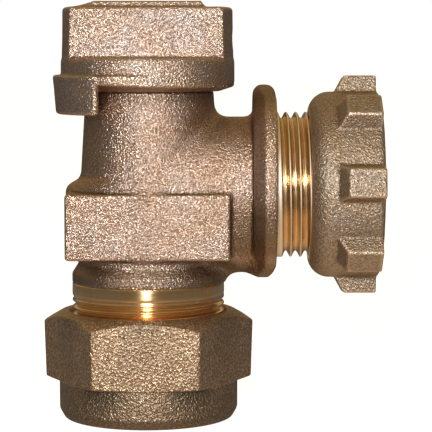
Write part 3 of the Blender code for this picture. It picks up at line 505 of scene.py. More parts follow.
plasticLook = dict(rubberLook, dark=(0.74, 0.73, 0.69), light=(0.88, 0.87, 0.83), tone=(0.97, 0.97, 0.96),
                   rough=0.38, bright=0.5, relief=0.15, grain=2200.0)
castBronze = castMetal("castBronze", castLook)
capBronze = castMetal("capBronze", capLook)
nutBronze = castMetal("nutBronze", nutLook)
lugBronze = castMetal("lugBronze", lugLook)
inletBrass = turnedMetal("inletBrass", brassLook)
outletBrass = turnedMetal("outletBrass", threadLook, "X", (0, math.radians(90), 0))
satinSteel = turnedMetal("satinSteel", steelLook)
blackRubber = mouldedStuff("blackRubber", rubberLook)
whitePlastic = mouldedStuff("whitePlastic", plasticLook)
print("finishes made")


# the valve's casting

bodyCasting = {
    "pitch": 0.42, "low": (-20.6, -22.8, 29.6), "high": (29.6, 22.8, 77.2), "shift": 0.4,
    "waistZ": [29.0, 32.7, 34.9, 60.0], "waistR": [17.2, 17.2, 15.8, 15.8], "waistSlope": 0.85,
    "waistTop": 46.0, "waistFillet": 0.9, "castEnd": 30.55,
    "blockHalf": (18.1, 16.4, 7.3), "blockMiddle": 44.1, "blockSoft": 0.8,
    "barrelHalf": (19.0, 15.65), "barrelLow": 38.4, "barrelTop": 53.2, "barrelSoft": 2.6,
    "barrelFillet": 0.3,
    "neckLow": 51.6, "neckFoot": 55.1, "neckTop": 73.5, "neckRadius": 15.5, "neckTaper": 1.1,
    "neckSoft": 0.3, "neckFillet": (0.2, 2.6), "neckFilletZ": (50.4, 53.2),
    "outletZ": 52.6, "bossStart": 2.0, "bossTop": 15.3, "bossDrop": 19.9,
    "bossFillet": (0.25, 3.2),  # least and most
    "flangeMiddle": 26.15, "flangeHalf": 2.55, "flangeZ": 53.5, "flangeRim": 21.6, "flangeBow": 0.06,
    "flangeUpright": (0.86, 0.99), "flangeSoft": (0.6, 1.6), "flangeFillet": (0.6, 1.7),
    "flangeSlant": (0.68, 0.73, 1.1), "slantSoft": 0.35,  # the slant runs outward, along and up
    "boreZ": [20.0, 31.0, 31.02, 35.8, 35.82, 37.6, 37.62, 40.1, 40.4, 64.6, 66.0, 66.02, 90.0],
    "boreR": [11.65, 11.65, 10.4, 10.4, 11.8, 11.8, 10.4, 10.4, 10.25, 9.35, 9.35, 6.3, 6.3],
    "outletX": [0.0, 12.6, 12.62, 16.6, 16.62, 60.0], "outletR": [8.1, 8.1, 6.3, 6.3, 9.25, 9.25],
    "outletStart": 5.0, "edgeSoft": 0.3,
    "stopLug": (8.6, 11.4, 75.9, 45.0, 10.0), "stopLow": 72.0,  # radii, top, middle and spread in degrees
    # painted shade: how strong it is in the hollows, and the heights over which painted shade low on the
    # waist fades out
    "paintedShade": 0.75, "lowShadeZ": (34.0, 37.5),
    "shelterX": (17.5, 20.5), "shelterLow": (36.0, 39.0), "shelterTop": (46.0, 52.0), "shelterDark": 0.55,
    "underSkirtZ": (69.0, 73.0), "underSkirtDark": 0.5,
}
stopDegree = 0.17  # about the length of one degree at the quarter-turn stop


def stopBlock(x, y, z, inner, outer, top, middle, spread):
    # a block bent round the key's axis: between two radii, up to a height, and so many degrees to
    # each side of its middle
    ring = np.hypot(x, y)
    turn = np.abs(np.degrees(np.arctan2(y, x)) - middle) - spread
    return np.maximum(np.maximum(inner - ring, ring - outer), np.maximum(turn * stopDegree, z - top))


def bodyBores(x, y, z):
    # how far a point is outside the two bores: one up the key's axis, one along the outlet
    cast = bodyCasting
    upright = np.hypot(x, y) - np.interp(z, cast["boreZ"], cast["boreR"])
    across = np.hypot(y, z - cast["outletZ"]) - np.interp(x, cast["outletX"], cast["outletR"])
    return np.minimum(upright, np.maximum(across, cast["outletStart"] - x))


def bodyField(x, y, z):
    # waist, block, barrel, neck, boss and flange joined with fillets, less the bores
    cast = bodyCasting
    side = x - cast["shift"]
    waist = cast["waistSlope"] * (np.hypot(x, y) - np.interp(z, cast["waistZ"], cast["waistR"]))
    waist = np.maximum(waist, z - cast["waistTop"])
    halfX, halfY, halfZ = cast["blockHalf"]
    block = softMax(np.abs(side) - halfX, np.abs(y) - halfY, cast["blockSoft"])
    block = softMax(block, np.abs(z - cast["blockMiddle"]) - halfZ, cast["blockSoft"])
    wide, deep = cast["barrelHalf"]
    barrel = (np.hypot(side / wide, y / deep) - 1) * 0.5 * (wide + deep)
    barrel = softMax(barrel, z - cast["barrelTop"], cast["barrelSoft"])
    barrel = np.maximum(barrel, cast["barrelLow"] - z)
    taper = cast["neckTaper"] * (z - cast["neckFoot"]) / (cast["neckTop"] - cast["neckFoot"])
    neckR = cast["neckRadius"] - taper
    neck = softMax(np.hypot(side, y) - neckR, z - cast["neckTop"], cast["neckSoft"])
    neck = np.maximum(neck, cast["neckLow"] - z)
    drop = z - cast["outletZ"]
    tall = np.where(drop < 0, drop / cast["bossDrop"], drop / cast["bossTop"])
    boss = (np.hypot(y / cast["bossTop"], tall) - 1) * cast["bossTop"]
    boss = np.maximum(boss, np.maximum(cast["bossStart"] - x, x - cast["flangeMiddle"]))
    # where neck and boss run side by side, at the front, the fillet between them narrows to nothing
    beside = y ** 2 / np.maximum(np.hypot(side, y) * np.hypot(y, drop), 1)
    least, most = cast["bossFillet"]
    bossFillet = np.maximum(most * (1 - beside), least)
    rim = np.hypot(y, z - cast["flangeZ"])
    upright = np.abs(z - cast["flangeZ"]) / np.maximum(rim, 1)
    upper = easeStep(*cast["flangeUpright"], upright)  # 1 at the flange's top and bottom
    away = x - cast["flangeMiddle"]
    crest = cast["flangeRim"] - cast["flangeBow"] * np.maximum(away, 0) ** 2
    outward, along, lift = cast["flangeSlant"]
    slant = (rim - cast["flangeRim"]) * outward - away * along - lift * upper
    flange = softMax(rim - crest, np.abs(away) - cast["flangeHalf"], grown(cast["flangeSoft"], upper))
    flange = softMax(flange, slant, cast["slantSoft"])
    solid = softMin(waist, block, cast["waistFillet"])
    above = easeStep(*cast["neckFilletZ"], z)  # the fillet at the neck's foot lies on the barrel's top only
    stem = softMin(barrel, neck, grown(cast["neckFillet"], above))
    solid = softMin(solid, stem, cast["barrelFillet"])
    solid = softMin(solid, boss, bossFillet)
    solid = softMin(solid, flange, grown(cast["flangeFillet"], upper))
    stop = stopBlock(x, y, z, *cast["stopLug"])
    solid = np.minimum(solid, np.maximum(stop, cast["stopLow"] - z))
    solid = softMax(solid, cast["castEnd"] - z, cast["edgeSoft"])
    return softMax(solid, -bodyBores(x, y, z), cast["edgeSoft"])


# how the casting's marks are drawn: wear on edges, painted shade in hollows and low down, and tool-cut walls
castWear = {
    "reach": 0.7, "edgeBend": (0.5, 1.6), "edgeWorn": 0.7, "hollowBend": (0.3, 1.3), "paintedShade": 0.55,
    "lowShadeDark": 0.42, "cutDepth": (0.05, 0.35),
}


def castMarks(field, points, bores, paintedShade=castWear["paintedShade"], lowShadeZ=None):
    # marks from the field: worn edges where it bends out, painted shade in hollows where it bends in,
    # painted shade low down that fades upwards over the given heights, and tool-cut walls beside the bores
    bend = fieldBend(field, points, castWear["reach"])
    cut = 1 - easeStep(*castWear["cutDepth"], np.abs(bores(*points)))
    hollowShade = paintedShade * easeStep(*castWear["hollowBend"], -bend)
    if lowShadeZ:
        hollowShade += castWear["lowShadeDark"] * (1 - easeStep(*lowShadeZ, points[2]))
    edge = castWear["edgeWorn"] * easeStep(*castWear["edgeBend"], bend) * (1 - cut)
    return {"edge": edge, "hollowShade": hollowShade, "machined": cut}


cast = bodyCasting
points, faces = castSkin(bodyField, cast["low"], cast["high"], cast["pitch"])
marks = castMarks(bodyField, points, bodyBores, cast["paintedShade"], cast["lowShadeZ"])
# low down between block and flange, and under the cap's skirt, little light comes in
shelter = easeStep(*cast["shelterX"], points[0]) * easeStep(*cast["shelterLow"], points[2])
marks["hollowShade"] += cast["shelterDark"] * shelter * (1 - easeStep(*cast["shelterTop"], points[2]))
marks["hollowShade"] += cast["underSkirtDark"] * easeStep(*cast["underSkirtZ"], points[2])
makePiece("bodyCasting", points, faces, castBronze, "valve", ["valve_body"], marks)


# the threaded ends of the valve

threadForm = {
    "soft": 0.16,  # share of a flank over which its two edges are eased
    "fade": 0.8,  # length over which a thread fades at its ends
    # where painted shade fills a groove and how dark it is, where a ridge is worn, and where the root's
    # painted highlight lies
    "grooveRise": (0.05, 0.4), "grooveDark": 0.7, "ridgeRise": (0.92, 1.0), "rootRise": (0.0, 0.03),
}


def threadShare(along, angle, look):
    # 1 on the ridge and 0 in the groove of a screw: the distance along the axis, less one pitch a turn,
    # is folded into one pitch and made a trapezium with eased edges
    pitch, flank, soft = look["pitch"], look["flank"], threadForm["soft"]
    place = np.mod(along - look["start"] - pitch * angle / (2 * np.pi), pitch)
    ridge = 2 * flank + (pitch / 2 - flank)
    rise = np.minimum(place, ridge - place) / flank
    return easeStep(-soft, 1 + soft, rise)


def threadRows(look, angle, low, high, fadeLow, fadeHigh, base, ridge, fadeOut=threadForm["fade"]):
    # rows of radius and height up a screw, from base in the groove to ridge; near each of the two
    # fades, given as a height and a radius, the screw turns into a plain cylinder
    rows = int(abs(high - low) / look["pitch"] * look["rowsPerTurn"])
    height = np.linspace(low, high, rows)[:, None]
    radius = base + (ridge - base) * threadShare(height, angle, look)
    begun = easeStep(fadeLow[0], fadeLow[0] + threadForm["fade"], height)
    radius = fadeLow[1] + (radius - fadeLow[1]) * begun
    ended = easeStep(fadeHigh[0] - fadeOut, fadeHigh[0], height)
    radius = fadeHigh[1] + (radius - fadeHigh[1]) * (1 - ended)
    return radius, np.broadcast_to(height, radius.shape)


def threadMarks(radius, base, ridge, rows, dark=threadForm["grooveDark"], rootHighlight=0.0):
    # painted shade in the bottom of a thread's groove, worn pale along its ridge, and a painted highlight
    # along its root
    rise = np.abs(radius[:rows] - base) / abs(ridge - base)
    hollowShade, edge = np.zeros_like(radius), np.zeros_like(radius)
    hollowShade[:rows] = dark * (1 - easeStep(*threadForm["grooveRise"], rise))
    edge[:rows] = easeStep(*threadForm["ridgeRise"], rise)
    edge[:rows] += rootHighlight * (1 - easeStep(*threadForm["rootRise"], rise))
    return {"hollowShade": hollowShade.ravel(), "edge": edge.ravel()}


inletEnd = {
    "columns": 132, "pitch": 1.5875, "start": 14.069, "major": 17.2, "depth": 1.016, "flank": 0.5866,
    "rowsPerTurn": 18, "low": 12.2, "lead": 0.5, "threadTop": 29.15, "top": 30.7,
    "fadeLow": 1.0, "fadeTop": 0.4, "runOut": 4.0, "runOutRows": 60,
    "topBevel": (0.25, 0.3), "topDraft": 0.03, "footBevel": (0.5, 0.45),
    "socket": 14.2125, "mouthBevel": (0.3, 0.6), "mouthRound": 0.2,
    "coneLow": 21.2, "coneTop": 23.8, "coneRound": 0.4, "bore": 11.6125, "boreFlare": 0.2,
}
end = inletEnd
columns = end["columns"]
angle = np.linspace(0, 2 * np.pi, columns, endpoint=False)[None, :]
major, low, top, threadTop = end["major"], end["low"], end["top"], end["threadTop"]
root = major - end["depth"]
screw = threadRows(end, angle, low + end["lead"], threadTop, (low + end["fadeLow"], root),
                   (threadTop - end["fadeTop"], major), root, major, end["runOut"])
inside = [
    (major, threadTop, 0), (major - end["topDraft"], top - end["topBevel"][1]),
    (major - end["topBevel"][0], top), (end["bore"] + end["boreFlare"], top),
    (end["bore"], end["coneTop"], end["coneRound"]), (end["socket"], end["coneLow"], end["coneRound"]),
    (end["socket"], low + end["mouthBevel"][1], end["mouthRound"]),
    (end["socket"] + end["mouthBevel"][0], low), (root - end["footBevel"][0], low),
    (root, low + end["footBevel"][1], 0),
]
radius, points, faces = threadedSkin(screw, inside, angle)
makePiece("inletThread", points, faces, inletBrass, "valve", ["valve_body"],
          threadMarks(radius, root, major, len(screw[0]) - end["runOutRows"]))

outletEnd = {
    "pitch": 2.2087, "start": 29.0, "major": 16.4, "depth": 1.4136, "flank": 0.8161, "rowsPerTurn": 22,
    "axisZ": bodyCasting["outletZ"], "low": 28.2, "top": 41.0, "bevel": 0.5, "bore": 9.2,
    "mouthBevel": 0.4, "startTurn": 0.25, "firstTurn": (-0.3, 0.1), "endFade": (1.7, 0.7),
    # no painted shade in the outlet's grooves, and a painted highlight along its roots
    "rootDark": 0.0, "rootHighlightShare": 0.4,
}
end = outletEnd
major, low, top, bore = end["major"], end["low"], end["top"], end["bore"]
root = major - end["depth"]
threadTop = top - end["bevel"]
rows = int((threadTop - low) / end["pitch"] * end["rowsPerTurn"])
height = np.linspace(low, threadTop, rows)[:, None]
share = threadShare(height, angle, end)
turnsIn = (height - end["start"]) / end["pitch"] - angle / (2 * np.pi) + end["startTurn"]
share = 1 - (1 - share) * easeStep(*end["firstTurn"], turnsIn)  # the groove starts one turn from the flange
share = share * (1 - easeStep(top - end["endFade"][0], top - end["endFade"][1], height))
screw = (root + (major - root) * share, np.broadcast_to(height, share.shape))
inside = [
    (root, threadTop, 0), (root - end["bevel"], top), (bore + end["mouthBevel"], top),
    (bore, top - end["mouthBevel"]), (bore, low), (major, low, 0),
]
radius, points, faces = threadedSkin(screw, inside, angle)
makePiece("outletThread", alongOutlet(points, end["axisZ"]), faces, outletBrass, "valve",
          ["valve_body"], threadMarks(radius, root, major, rows, end["rootDark"], end["rootHighlightShare"]))


# the tee cap

teeCap = {
    "pitch": 0.36, "low": (-22.4, -20.6, 67.4), "high": (20.6, 20.6, 94.4), "paintedShade": 0.15,
    "base": 73.6, "skirt": 19.45, "bevelIn": 16.05, "bevelRise": 1.1, "ledge": 81.15, "rimSoft": 1.3,
    "footSoft": 0.6, "bandRise": 1.5, "bandEnd": 4.0, "bandLow": (74.0, 74.6), "bandTop": (77.0, 77.35),
    "flat": 9.0, "headEnd": 19.35, "draft": 0.3, "headLow": 76.0, "headTop": 92.3, "headSoft": 1.0,
    "cornerSoft": 0.25, "headFillet": 0.4,
    "crownTop": 93.7, "crownSink": 0.05, "crownGap": 0.01, "crownFoot": 0.6, "crownLow": 90.0,
    "crownDeep": 6.3, "crownReach": 18.2, "crownSoft": 0.9, "crownFillet": 0.8,
    "crownLeft": (-17.5, 0.33), "crownRight": (13.4, 1.4),  # where each end starts, and its slope
    "tab": (15.4, 21.3, 68.5, 77.3, -10.3),  # its two radii, two heights, and where it ends along X
    "tabDraft": 0.7, "tabSoft": 0.5, "tabEndSoft": 1.0, "tabRimSoft": 0.9, "tabFillet": 0.5,
    "socketR": 6.3, "socketFlat": 4.35, "socketTop": 89.6, "pinR": 2.15, "pinZ": 85.1, "boreSoft": 0.25,
    "stopPocket": (8.3, 11.7, 76.2, 90.0, 56.5),  # as for the stop lug
}


def capBores(x, y, z):
    # how far a point is outside the tang's socket, the pin's hole and the stop's pocket
    cap = teeCap
    socket = np.maximum(np.hypot(x, y) - cap["socketR"], np.abs(y) - cap["socketFlat"])
    socket = np.maximum(socket, z - cap["socketTop"])
    pin = np.hypot(y, z - cap["pinZ"]) - cap["pinR"]
    pocket = stopBlock(x, y, z, *cap["stopPocket"])
    return np.minimum(np.minimum(socket, pin), pocket)


def capField(x, y, z):
    # skirt with a sloping ledge, head with two flats, crown, side tab and a faint band, less the bores
    cap = teeCap
    ring = np.hypot(x, y)
    inner, outer, low, high, end = cap["tab"]
    slope = cap["bevelRise"] / (cap["skirt"] - cap["bevelIn"])
    under = cap["base"] + np.maximum(ring - cap["bevelIn"], 0) * slope
    rise = cap["bandRise"] * (1 - easeStep(end, cap["bandEnd"], x))
    wall = cap["skirt"] + rise * (1 - easeStep(*cap["bandTop"], z)) * easeStep(*cap["bandLow"], z)
    skirt = softMax(ring - wall, z - cap["ledge"], cap["rimSoft"])
    skirt = softMax(skirt, under - z, cap["footSoft"])
    lean = cap["headEnd"] - cap["draft"] * easeStep(cap["base"], cap["headTop"], z)
    head = softMax(np.abs(y) - cap["flat"], ring - lean, cap["cornerSoft"])
    head = softMax(head, z - cap["headTop"], cap["headSoft"])
    head = np.maximum(head, cap["headLow"] - z)
    leftEnd, leftSlope = cap["crownLeft"]
    rightEnd, rightSlope = cap["crownRight"]
    climb = np.minimum((x - leftEnd) * leftSlope, (rightEnd - x) * rightSlope)
    top = np.minimum(cap["crownTop"] - cap["crownSink"], cap["headTop"] - cap["crownFoot"] + climb)
    crown = softMax(z - top, np.abs(y) - cap["crownDeep"], cap["crownSoft"])
    crown = softMax(crown, ring - cap["crownReach"], cap["crownSoft"])
    crown = np.maximum(crown, cap["crownLow"] - z)
    face = outer - cap["tabDraft"] * (high - z) / (high - low)
    tab = softMax(ring - face, inner - ring, cap["tabSoft"])
    tab = softMax(tab, x - end, cap["tabEndSoft"])
    tab = softMax(tab, softMax(low - z, z - high, cap["tabSoft"]), cap["tabRimSoft"])
    solid = softMin(skirt, head, cap["headFillet"])
    solid = softMin(solid, crown, cap["crownFillet"])
    solid = softMin(solid, tab, cap["tabFillet"])
    return softMax(solid, -capBores(x, y, z), cap["boreSoft"])


points, faces = castSkin(capField, teeCap["low"], teeCap["high"], teeCap["pitch"])
points[2] = np.minimum(points[2], teeCap["crownTop"] - teeCap["crownGap"])
makePiece("teeCapCasting", points, faces, capBronze, "key", ["tee_cap"],
          castMarks(capField, points, capBores, teeCap["paintedShade"]))


# the lugged coupling nut

lugNut = {
    "pitch": 0.36, "low": (35.2, -25.2, 27.2), "high": (52.8, 25.2, 78.0),
    "axisZ": outletEnd["axisZ"], "face": 36.0, "length": 16.0, "radius": 20.9, "shoulder": 4.7, "rim": 1.5,
    "bore": 17.15, "boreSoft": 0.3,
    "lugs": 8, "turn": -4.5, "tip": 24.4, "lugFoot": 18.0, "baseWidth": 7.6, "topWidth": 6.2,
    "start": 6.0, "slant": 1.9, "endSlant": (0.1, 0.7), "lugSoft": 0.5, "fillet": 0.5,
}


def lugNutBore(x, y, z):
    # how far a point is outside the nut's bore
    return np.hypot(y, z - lugNut["axisZ"]) - lugNut["bore"]


def lugNutField(x, y, z):
    # a turned body with one rounded shoulder, and lugs folded into one eighth of a turn
    nut = lugNut
    along = x - nut["face"]
    ring = np.hypot(y, z - nut["axisZ"])
    out, back = ring - nut["radius"] + nut["shoulder"], nut["shoulder"] - along
    corner = np.hypot(np.maximum(out, 0), np.maximum(back, 0)) + np.minimum(np.maximum(out, back), 0)
    body = softMax(corner - nut["shoulder"], along - nut["length"], nut["rim"])
    turn = np.arctan2(y, nut["axisZ"] - z) - math.radians(nut["turn"])
    each = 2 * np.pi / nut["lugs"]
    turn = np.mod(turn + each / 2, each) - each / 2
    far, side = ring * np.cos(turn), ring * np.sin(turn)
    up = (far - nut["radius"]) / (nut["tip"] - nut["radius"])
    halfWidth = 0.5 * (nut["baseWidth"] + (nut["topWidth"] - nut["baseWidth"]) * up)
    lug = softMax(np.abs(side) - halfWidth, far - nut["tip"], nut["lugSoft"])
    lean = grown(nut["endSlant"], ((z - nut["axisZ"]) / np.maximum(ring, 1)) ** 2)
    ends = np.maximum(nut["start"] + nut["slant"] * up - along, along - nut["length"] + lean)
    lug = softMax(lug, ends, nut["lugSoft"])
    lug = softMax(lug, nut["lugFoot"] - far, nut["lugSoft"])
    return softMax(softMin(body, lug, nut["fillet"]), -lugNutBore(x, y, z), nut["boreSoft"])


points, faces = castSkin(lugNutField, lugNut["low"], lugNut["high"], lugNut["pitch"])
points[0] = np.clip(points[0], lugNut["face"], lugNut["face"] + lugNut["length"])
makePiece("lugNutCasting", points, faces, lugBronze, "coupling_nut", ["coupling_nut"],
          castMarks(lugNutField, points, lugNutBore))

# its thread has the outlet's pitch and flank, and ridges where the outlet has grooves
lugNutThread = {
    "pitch": outletEnd["pitch"], "flank": outletEnd["flank"], "rowsPerTurn": 20,
    "start": outletEnd["start"] + 4.5 * outletEnd["pitch"], "major": 16.65, "minor": 15.236,
    "low": 36.1, "high": 51.9, "back": 17.45, "mouth": 17.14, "backBevel": 0.4,
    "lowLead": 0.6, "highLead": 0.5, "fadeLow": 0.3, "fadeHigh": 0.2,
}
nut = lugNutThread
major, back, mouth, low, high = nut["major"], nut["back"], nut["mouth"], nut["low"], nut["high"]
bottom, top = low + nut["lowLead"], high - nut["highLead"]
screw = threadRows(nut, angle, top, bottom, (bottom + nut["fadeLow"], major), (top - nut["fadeHigh"], major),
                   major, nut["minor"])
behind = [
    (major, bottom, 0), (mouth, low), (back, low + nut["backBevel"]), (back, high - nut["backBevel"]),
    (mouth, high), (major, top, 0),
]
radius, points, faces = threadedSkin(screw, behind, angle)
makePiece("lugNutThread", alongOutlet(points, lugNut["axisZ"]), faces, outletBrass, "coupling_nut",
          ["coupling_nut"], threadMarks(radius, major, nut["minor"], len(screw[0])))


# the hex nut

# its thread has the inlet's pitch and flank, and ridges where the inlet has grooves
hexNut = {
    "sides": 6, "perFlat": 28, "halfFlats": 20.65, "cornerSoft": 0.7, "flatLean": 0.4,
    "height": 24.2, "topRadius": 19.5, "topBevel": 30.0, "topRound": 0.45, "rimRound": 0.5,
    "collar": 20.2, "collarTop": 8.7, "lowBevel": 5.0, "lowRound": 0.35, "collarRound": 0.5,
    "footBevel": (1.2, 2.1), "bore": 11.6125, "boreRound": 0.3, "lip": 3.6,
    "seatSmall": 13.0125, "seatLarge": 14.7125, "seatTop": 9.0, "seatRound": 0.15, "boreCorners": 5,
    "pitch": inletEnd["pitch"], "flank": inletEnd["flank"], "rowsPerTurn": 14,
    "start": inletEnd["start"] + 0.5 * inletEnd["pitch"], "major": 17.45, "minor": 16.434, "mouth": 17.95,
    "lead": 0.5, "fadeLow": 0.3, "fadeHigh": 0.5,
    "shadeZ": [1.9, 2.5, 5.0, 8.0, 8.7], "shadeDark": [0.8, 0.42, 0.46, 0.46, 0.25],
    "overhang": (0.2, 1.8), "underZ": [5.0, 7.6, 8.7], "underDark": [0.0, 0.25, 0.6],
    "shadeEnd": (-0.1, 0.4), "topShadeZ": (22.4, 23.4), "topShadeDark": 0.45,
}
nut = hexNut
halfSide = np.pi / nut["sides"]
sweep = np.arange(nut["perFlat"]) / nut["perFlat"] * 2 - 1
offset = np.tile(halfSide * np.sin(np.pi / 2 * sweep), nut["sides"])  # closer columns near the corners
middle = halfSide * (1 + 2 * np.arange(nut["sides"]))
hexAngle = (offset + np.repeat(middle, nut["perFlat"]))[None, :]
# the distance to the flat in this direction, eased into the distance to the next flat at a corner
flat = nut["halfFlats"] / np.cos(offset)
nextFlat = nut["halfFlats"] / np.cos(2 * halfSide - np.abs(offset))
wall = softMin(flat, nextFlat, nut["cornerSoft"])
lowWall = wall - nut["flatLean"]
topZ = nut["height"] - (wall - nut["topRadius"]) * math.tan(math.radians(nut["topBevel"]))
lowZ = nut["collarTop"] + (lowWall - nut["collar"]) * math.tan(math.radians(nut["lowBevel"]))
major, bore, collar, seatTop = nut["major"], nut["bore"], nut["collar"], nut["seatTop"]
bottom, top = seatTop + nut["lead"], nut["height"] - nut["lead"]
screw = threadRows(nut, hexAngle, top, bottom, (bottom + nut["fadeLow"], major),
                   (top - nut["fadeHigh"], major), major, nut["minor"])
outside = [
    (major, bottom, 0), (major, seatTop), (nut["seatLarge"], seatTop, nut["seatRound"]),
    (nut["seatSmall"], nut["lip"], nut["seatRound"]), (bore, nut["lip"], nut["seatRound"]),
    (bore, 0.0, nut["boreRound"]),
    (collar - nut["footBevel"][0], 0.0, nut["collarRound"]),
    (collar, nut["footBevel"][1], nut["collarRound"]), (collar, nut["collarTop"], nut["collarRound"]),
    (lowWall, lowZ, nut["lowRound"]), (wall, topZ, nut["topRound"]),
    (nut["topRadius"], nut["height"], nut["rimRound"]), (nut["mouth"], nut["height"], nut["seatRound"]),
    (major, top, 0),
]
radius, points, faces = threadedSkin(screw, outside, hexAngle)
height = points[2].reshape(radius.shape)
machined = np.zeros_like(radius)
machined[:len(screw[0]) + nut["boreCorners"] * cornerRows] = 1
overhang = easeStep(*nut["overhang"], lowWall - collar)  # 0 amid a flat, which is flush with the collar
shade = np.interp(height, nut["shadeZ"], nut["shadeDark"])  # painted shade over the collar, darkest at its foot
shade = shade + overhang * np.interp(height, nut["underZ"], nut["underDark"])
# the painted shade stops at the hex's lower edge, and near the top the nut is darker again
nutShade = shade * (1 - easeStep(*nut["shadeEnd"], height - lowZ))
nutShade = nutShade + nut["topShadeDark"] * easeStep(*nut["topShadeZ"], height)
makePiece("hexNut", points, faces, nutBronze, "compression_nut", ["compression_nut"],
          {"machined": machined.ravel(), "hollowShade": nutShade.ravel()})


# the rings inside, each from the reach of its node in the frame: name, axis, finish and rounding

ringPieces = {
    "meter_gasket": ("meterGasket", "x", blackRubber, 0.2),
    "compression_gasket": ("tubeGasket", "z", blackRubber, 0.35),
    "gripper_washer": ("gripperWasher", "z", inletBrass, 0.12),
    "thrust_washer": ("thrustWasher", "z", whitePlastic, 0.1),
    "spring_washer": ("springWasher", "z", inletBrass, 0.1),
    "port_seal_ring": ("portSeal", "x", blackRubber, 0.25),
    "stem_o_ring_upper": ("upperStemRing", "z", blackRubber, 2.0),
    "stem_o_ring_lower": ("lowerStemRing", "z", blackRubber, 2.0),
    "key_o_ring": ("keyRing", "z", blackRubber, 2.0),
}
bodyOf = {node: body for body, nodes in frame["record"]["behaviour"]["bodies"].items() for node in nodes}
for node, (name, axis, material, rounding) in ringPieces.items():
    mesh = frame["nodes"][node].data
    spots = np.zeros(len(mesh.vertices) * 3, np.float32)
    mesh.vertices.foreach_get("co", spots)
    x, y, z = spots.reshape(-1, 3).T / mm
    along, reach = (x, np.hypot(y, z - outletEnd["axisZ"])) if axis == "x" else (z, np.hypot(x, y))
    low, high, small, large = along.min(), along.max(), reach.min(), reach.max()
    corners = [(large, low), (large, high), (small, high), (small, low)]
    outline = roundedOutline([(*corner, rounding) for corner in corners], columns)
    radius, height = outline.reshape(2, -1, columns)
    points, faces = ringSkin(radius, height, angle)
    points = alongOutlet(points, outletEnd["axisZ"]) if axis == "x" else points
    makePiece(name, points, faces, material, bodyOf[node], [node])

# the nodes that keep their solids
cadFinish = {
    "key": inletBrass, "cap_pin": outletBrass, "wave_spring": satinSteel, "retaining_ring": satinSteel,
    "gripper_ring": satinSteel, "continuity_spring": satinSteel,
}
for node, material in cadFinish.items():
    mesh = frame["nodes"][node].data
    mesh.materials.clear()
    mesh.materials.append(material)
print("rings and CAD nodes finished")


# floor, light and camera

floorSheet = {
    "reach": 6.0, "drop": -0.00005,  # just under the nut, so that the two faces do not meet
    "paint": (0.8, 0.8, 0.8), "rough": 0.9, "glow": (1.0, 1.0, 1.0), "glowPower": 0.86,
}
reach, drop = floorSheet["reach"], floorSheet["drop"]
floorMesh = bpy.data.meshes.new("floor")
floorCorners = [(-reach, -reach, drop), (reach, -reach, drop), (reach, reach, drop), (-reach, reach, drop)]
floorMesh.from_pydata(floorCorners, [], [(0, 1, 2, 3)])
floor = bpy.data.objects.new("floor", floorMesh)
bpy.context.scene.collection.objects.link(floor)
floor.visible_glossy = False
floorPaint = bpy.data.materials.new("floorPaint")
floorPaint.use_nodes = True
tree = floorPaint.node_tree
shader = tree.nodes["Principled BSDF"]
shader.inputs["Base Color"].default_value = (*floorSheet["paint"], 1)
shader.inputs["Roughness"].default_value = floorSheet["rough"]
shader.inputs["Emission Color"].default_value = (*floorSheet["glow"], 1)
shader.inputs["Emission Strength"].default_value = floorSheet["glowPower"]
floorMesh.materials.append(floorPaint)

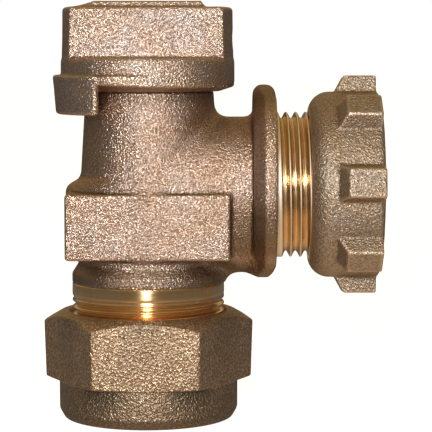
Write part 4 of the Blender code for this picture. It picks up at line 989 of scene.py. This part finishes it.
studio = {
    "flashSpot": (-0.005, -0.417, 0.135), "flashAim": (0.012, 0.0, 0.052),
    "flashSize": 0.06, "flashPower": 1.42,
    "skyTop": (0.43, 0.32, 0.155), "skySide": (0.08, 0.098, 0.107), "skyLow": (0.2, 0.175, 0.15),
    "skyBack": (0.5, 0.37, 0.18), "skyFoot": (0.75, 0.56, 0.36), "paper": (1.0, 1.0, 1.0),
    # how far up, down or back a direction points where each part of the sky begins and is full
    "upward": (0.0, 0.9), "downward": (-0.35, 0.05), "backward": (0.2, 0.85), "raised": (0.08, 0.3),
    "beneath": (-0.9, -0.45),
}
flash = bpy.data.lights.new("flash", "AREA")
flash.shape = "DISK"
flash.size = studio["flashSize"]
flash.energy = studio["flashPower"]
lamp = bpy.data.objects.new("flash", flash)
lamp.location = studio["flashSpot"]
aim = Vector(studio["flashAim"]) - lamp.location
lamp.rotation_euler = aim.to_track_quat("-Z", "Y").to_euler()
bpy.context.scene.collection.objects.link(lamp)

# dim walls, a warm ceiling and a warm glow behind and below for the metal to mirror; to the camera the
# backdrop is white paper
world = bpy.data.worlds.new("studio")
bpy.context.scene.world = world
world.use_nodes = True
tree = world.node_tree
sky = tree.nodes["Background"]
place = addNode(tree, "ShaderNodeTexCoord")
parts = addNode(tree, "ShaderNodeSeparateXYZ")
tree.links.new(place.outputs["Generated"], parts.inputs[0])
upward = rangeNode(tree, parts.outputs[2], *studio["upward"])
downward = rangeNode(tree, parts.outputs[2], *studio["downward"], 1, 0)
colour = mixColour(tree, upward, studio["skySide"], studio["skyTop"])
colour = mixColour(tree, downward, colour, studio["skyLow"])
backward = rangeNode(tree, parts.outputs[1], *studio["backward"])
raised = rangeNode(tree, parts.outputs[2], *studio["raised"])
glow = mathNode(tree, "MULTIPLY", backward, raised)
colour = mixColour(tree, glow, colour, studio["skyBack"])
beneath = rangeNode(tree, parts.outputs[2], *studio["beneath"], 1, 0)
colour = mixColour(tree, beneath, colour, studio["skyFoot"])
paths = addNode(tree, "ShaderNodeLightPath")
colour = mixColour(tree, paths.outputs["Is Camera Ray"], colour, studio["paper"])
tree.links.new(colour, sky.inputs["Color"])

view = {
    "sensor": 36.0, "focalPixels": 1850, "photoPixels": 432,  # the focal length, in pixels of the photo
    "spot": (0.01534, -0.41696, 0.08122), "downTilt": 4.91, "clipStart": 0.01,
}
cameraData = bpy.data.cameras.new("camera")
cameraData.sensor_width = view["sensor"]
cameraData.lens = view["sensor"] * view["focalPixels"] / view["photoPixels"]
cameraData.clip_start = view["clipStart"]
camera = bpy.data.objects.new("camera", cameraData)
camera.location = view["spot"]
camera.rotation_euler = (math.radians(90 - view["downTilt"]), 0, 0)
bpy.context.scene.collection.objects.link(camera)
bpy.context.scene.camera = camera
bpy.context.scene.view_settings.view_transform = "Standard"

print("scene ready")
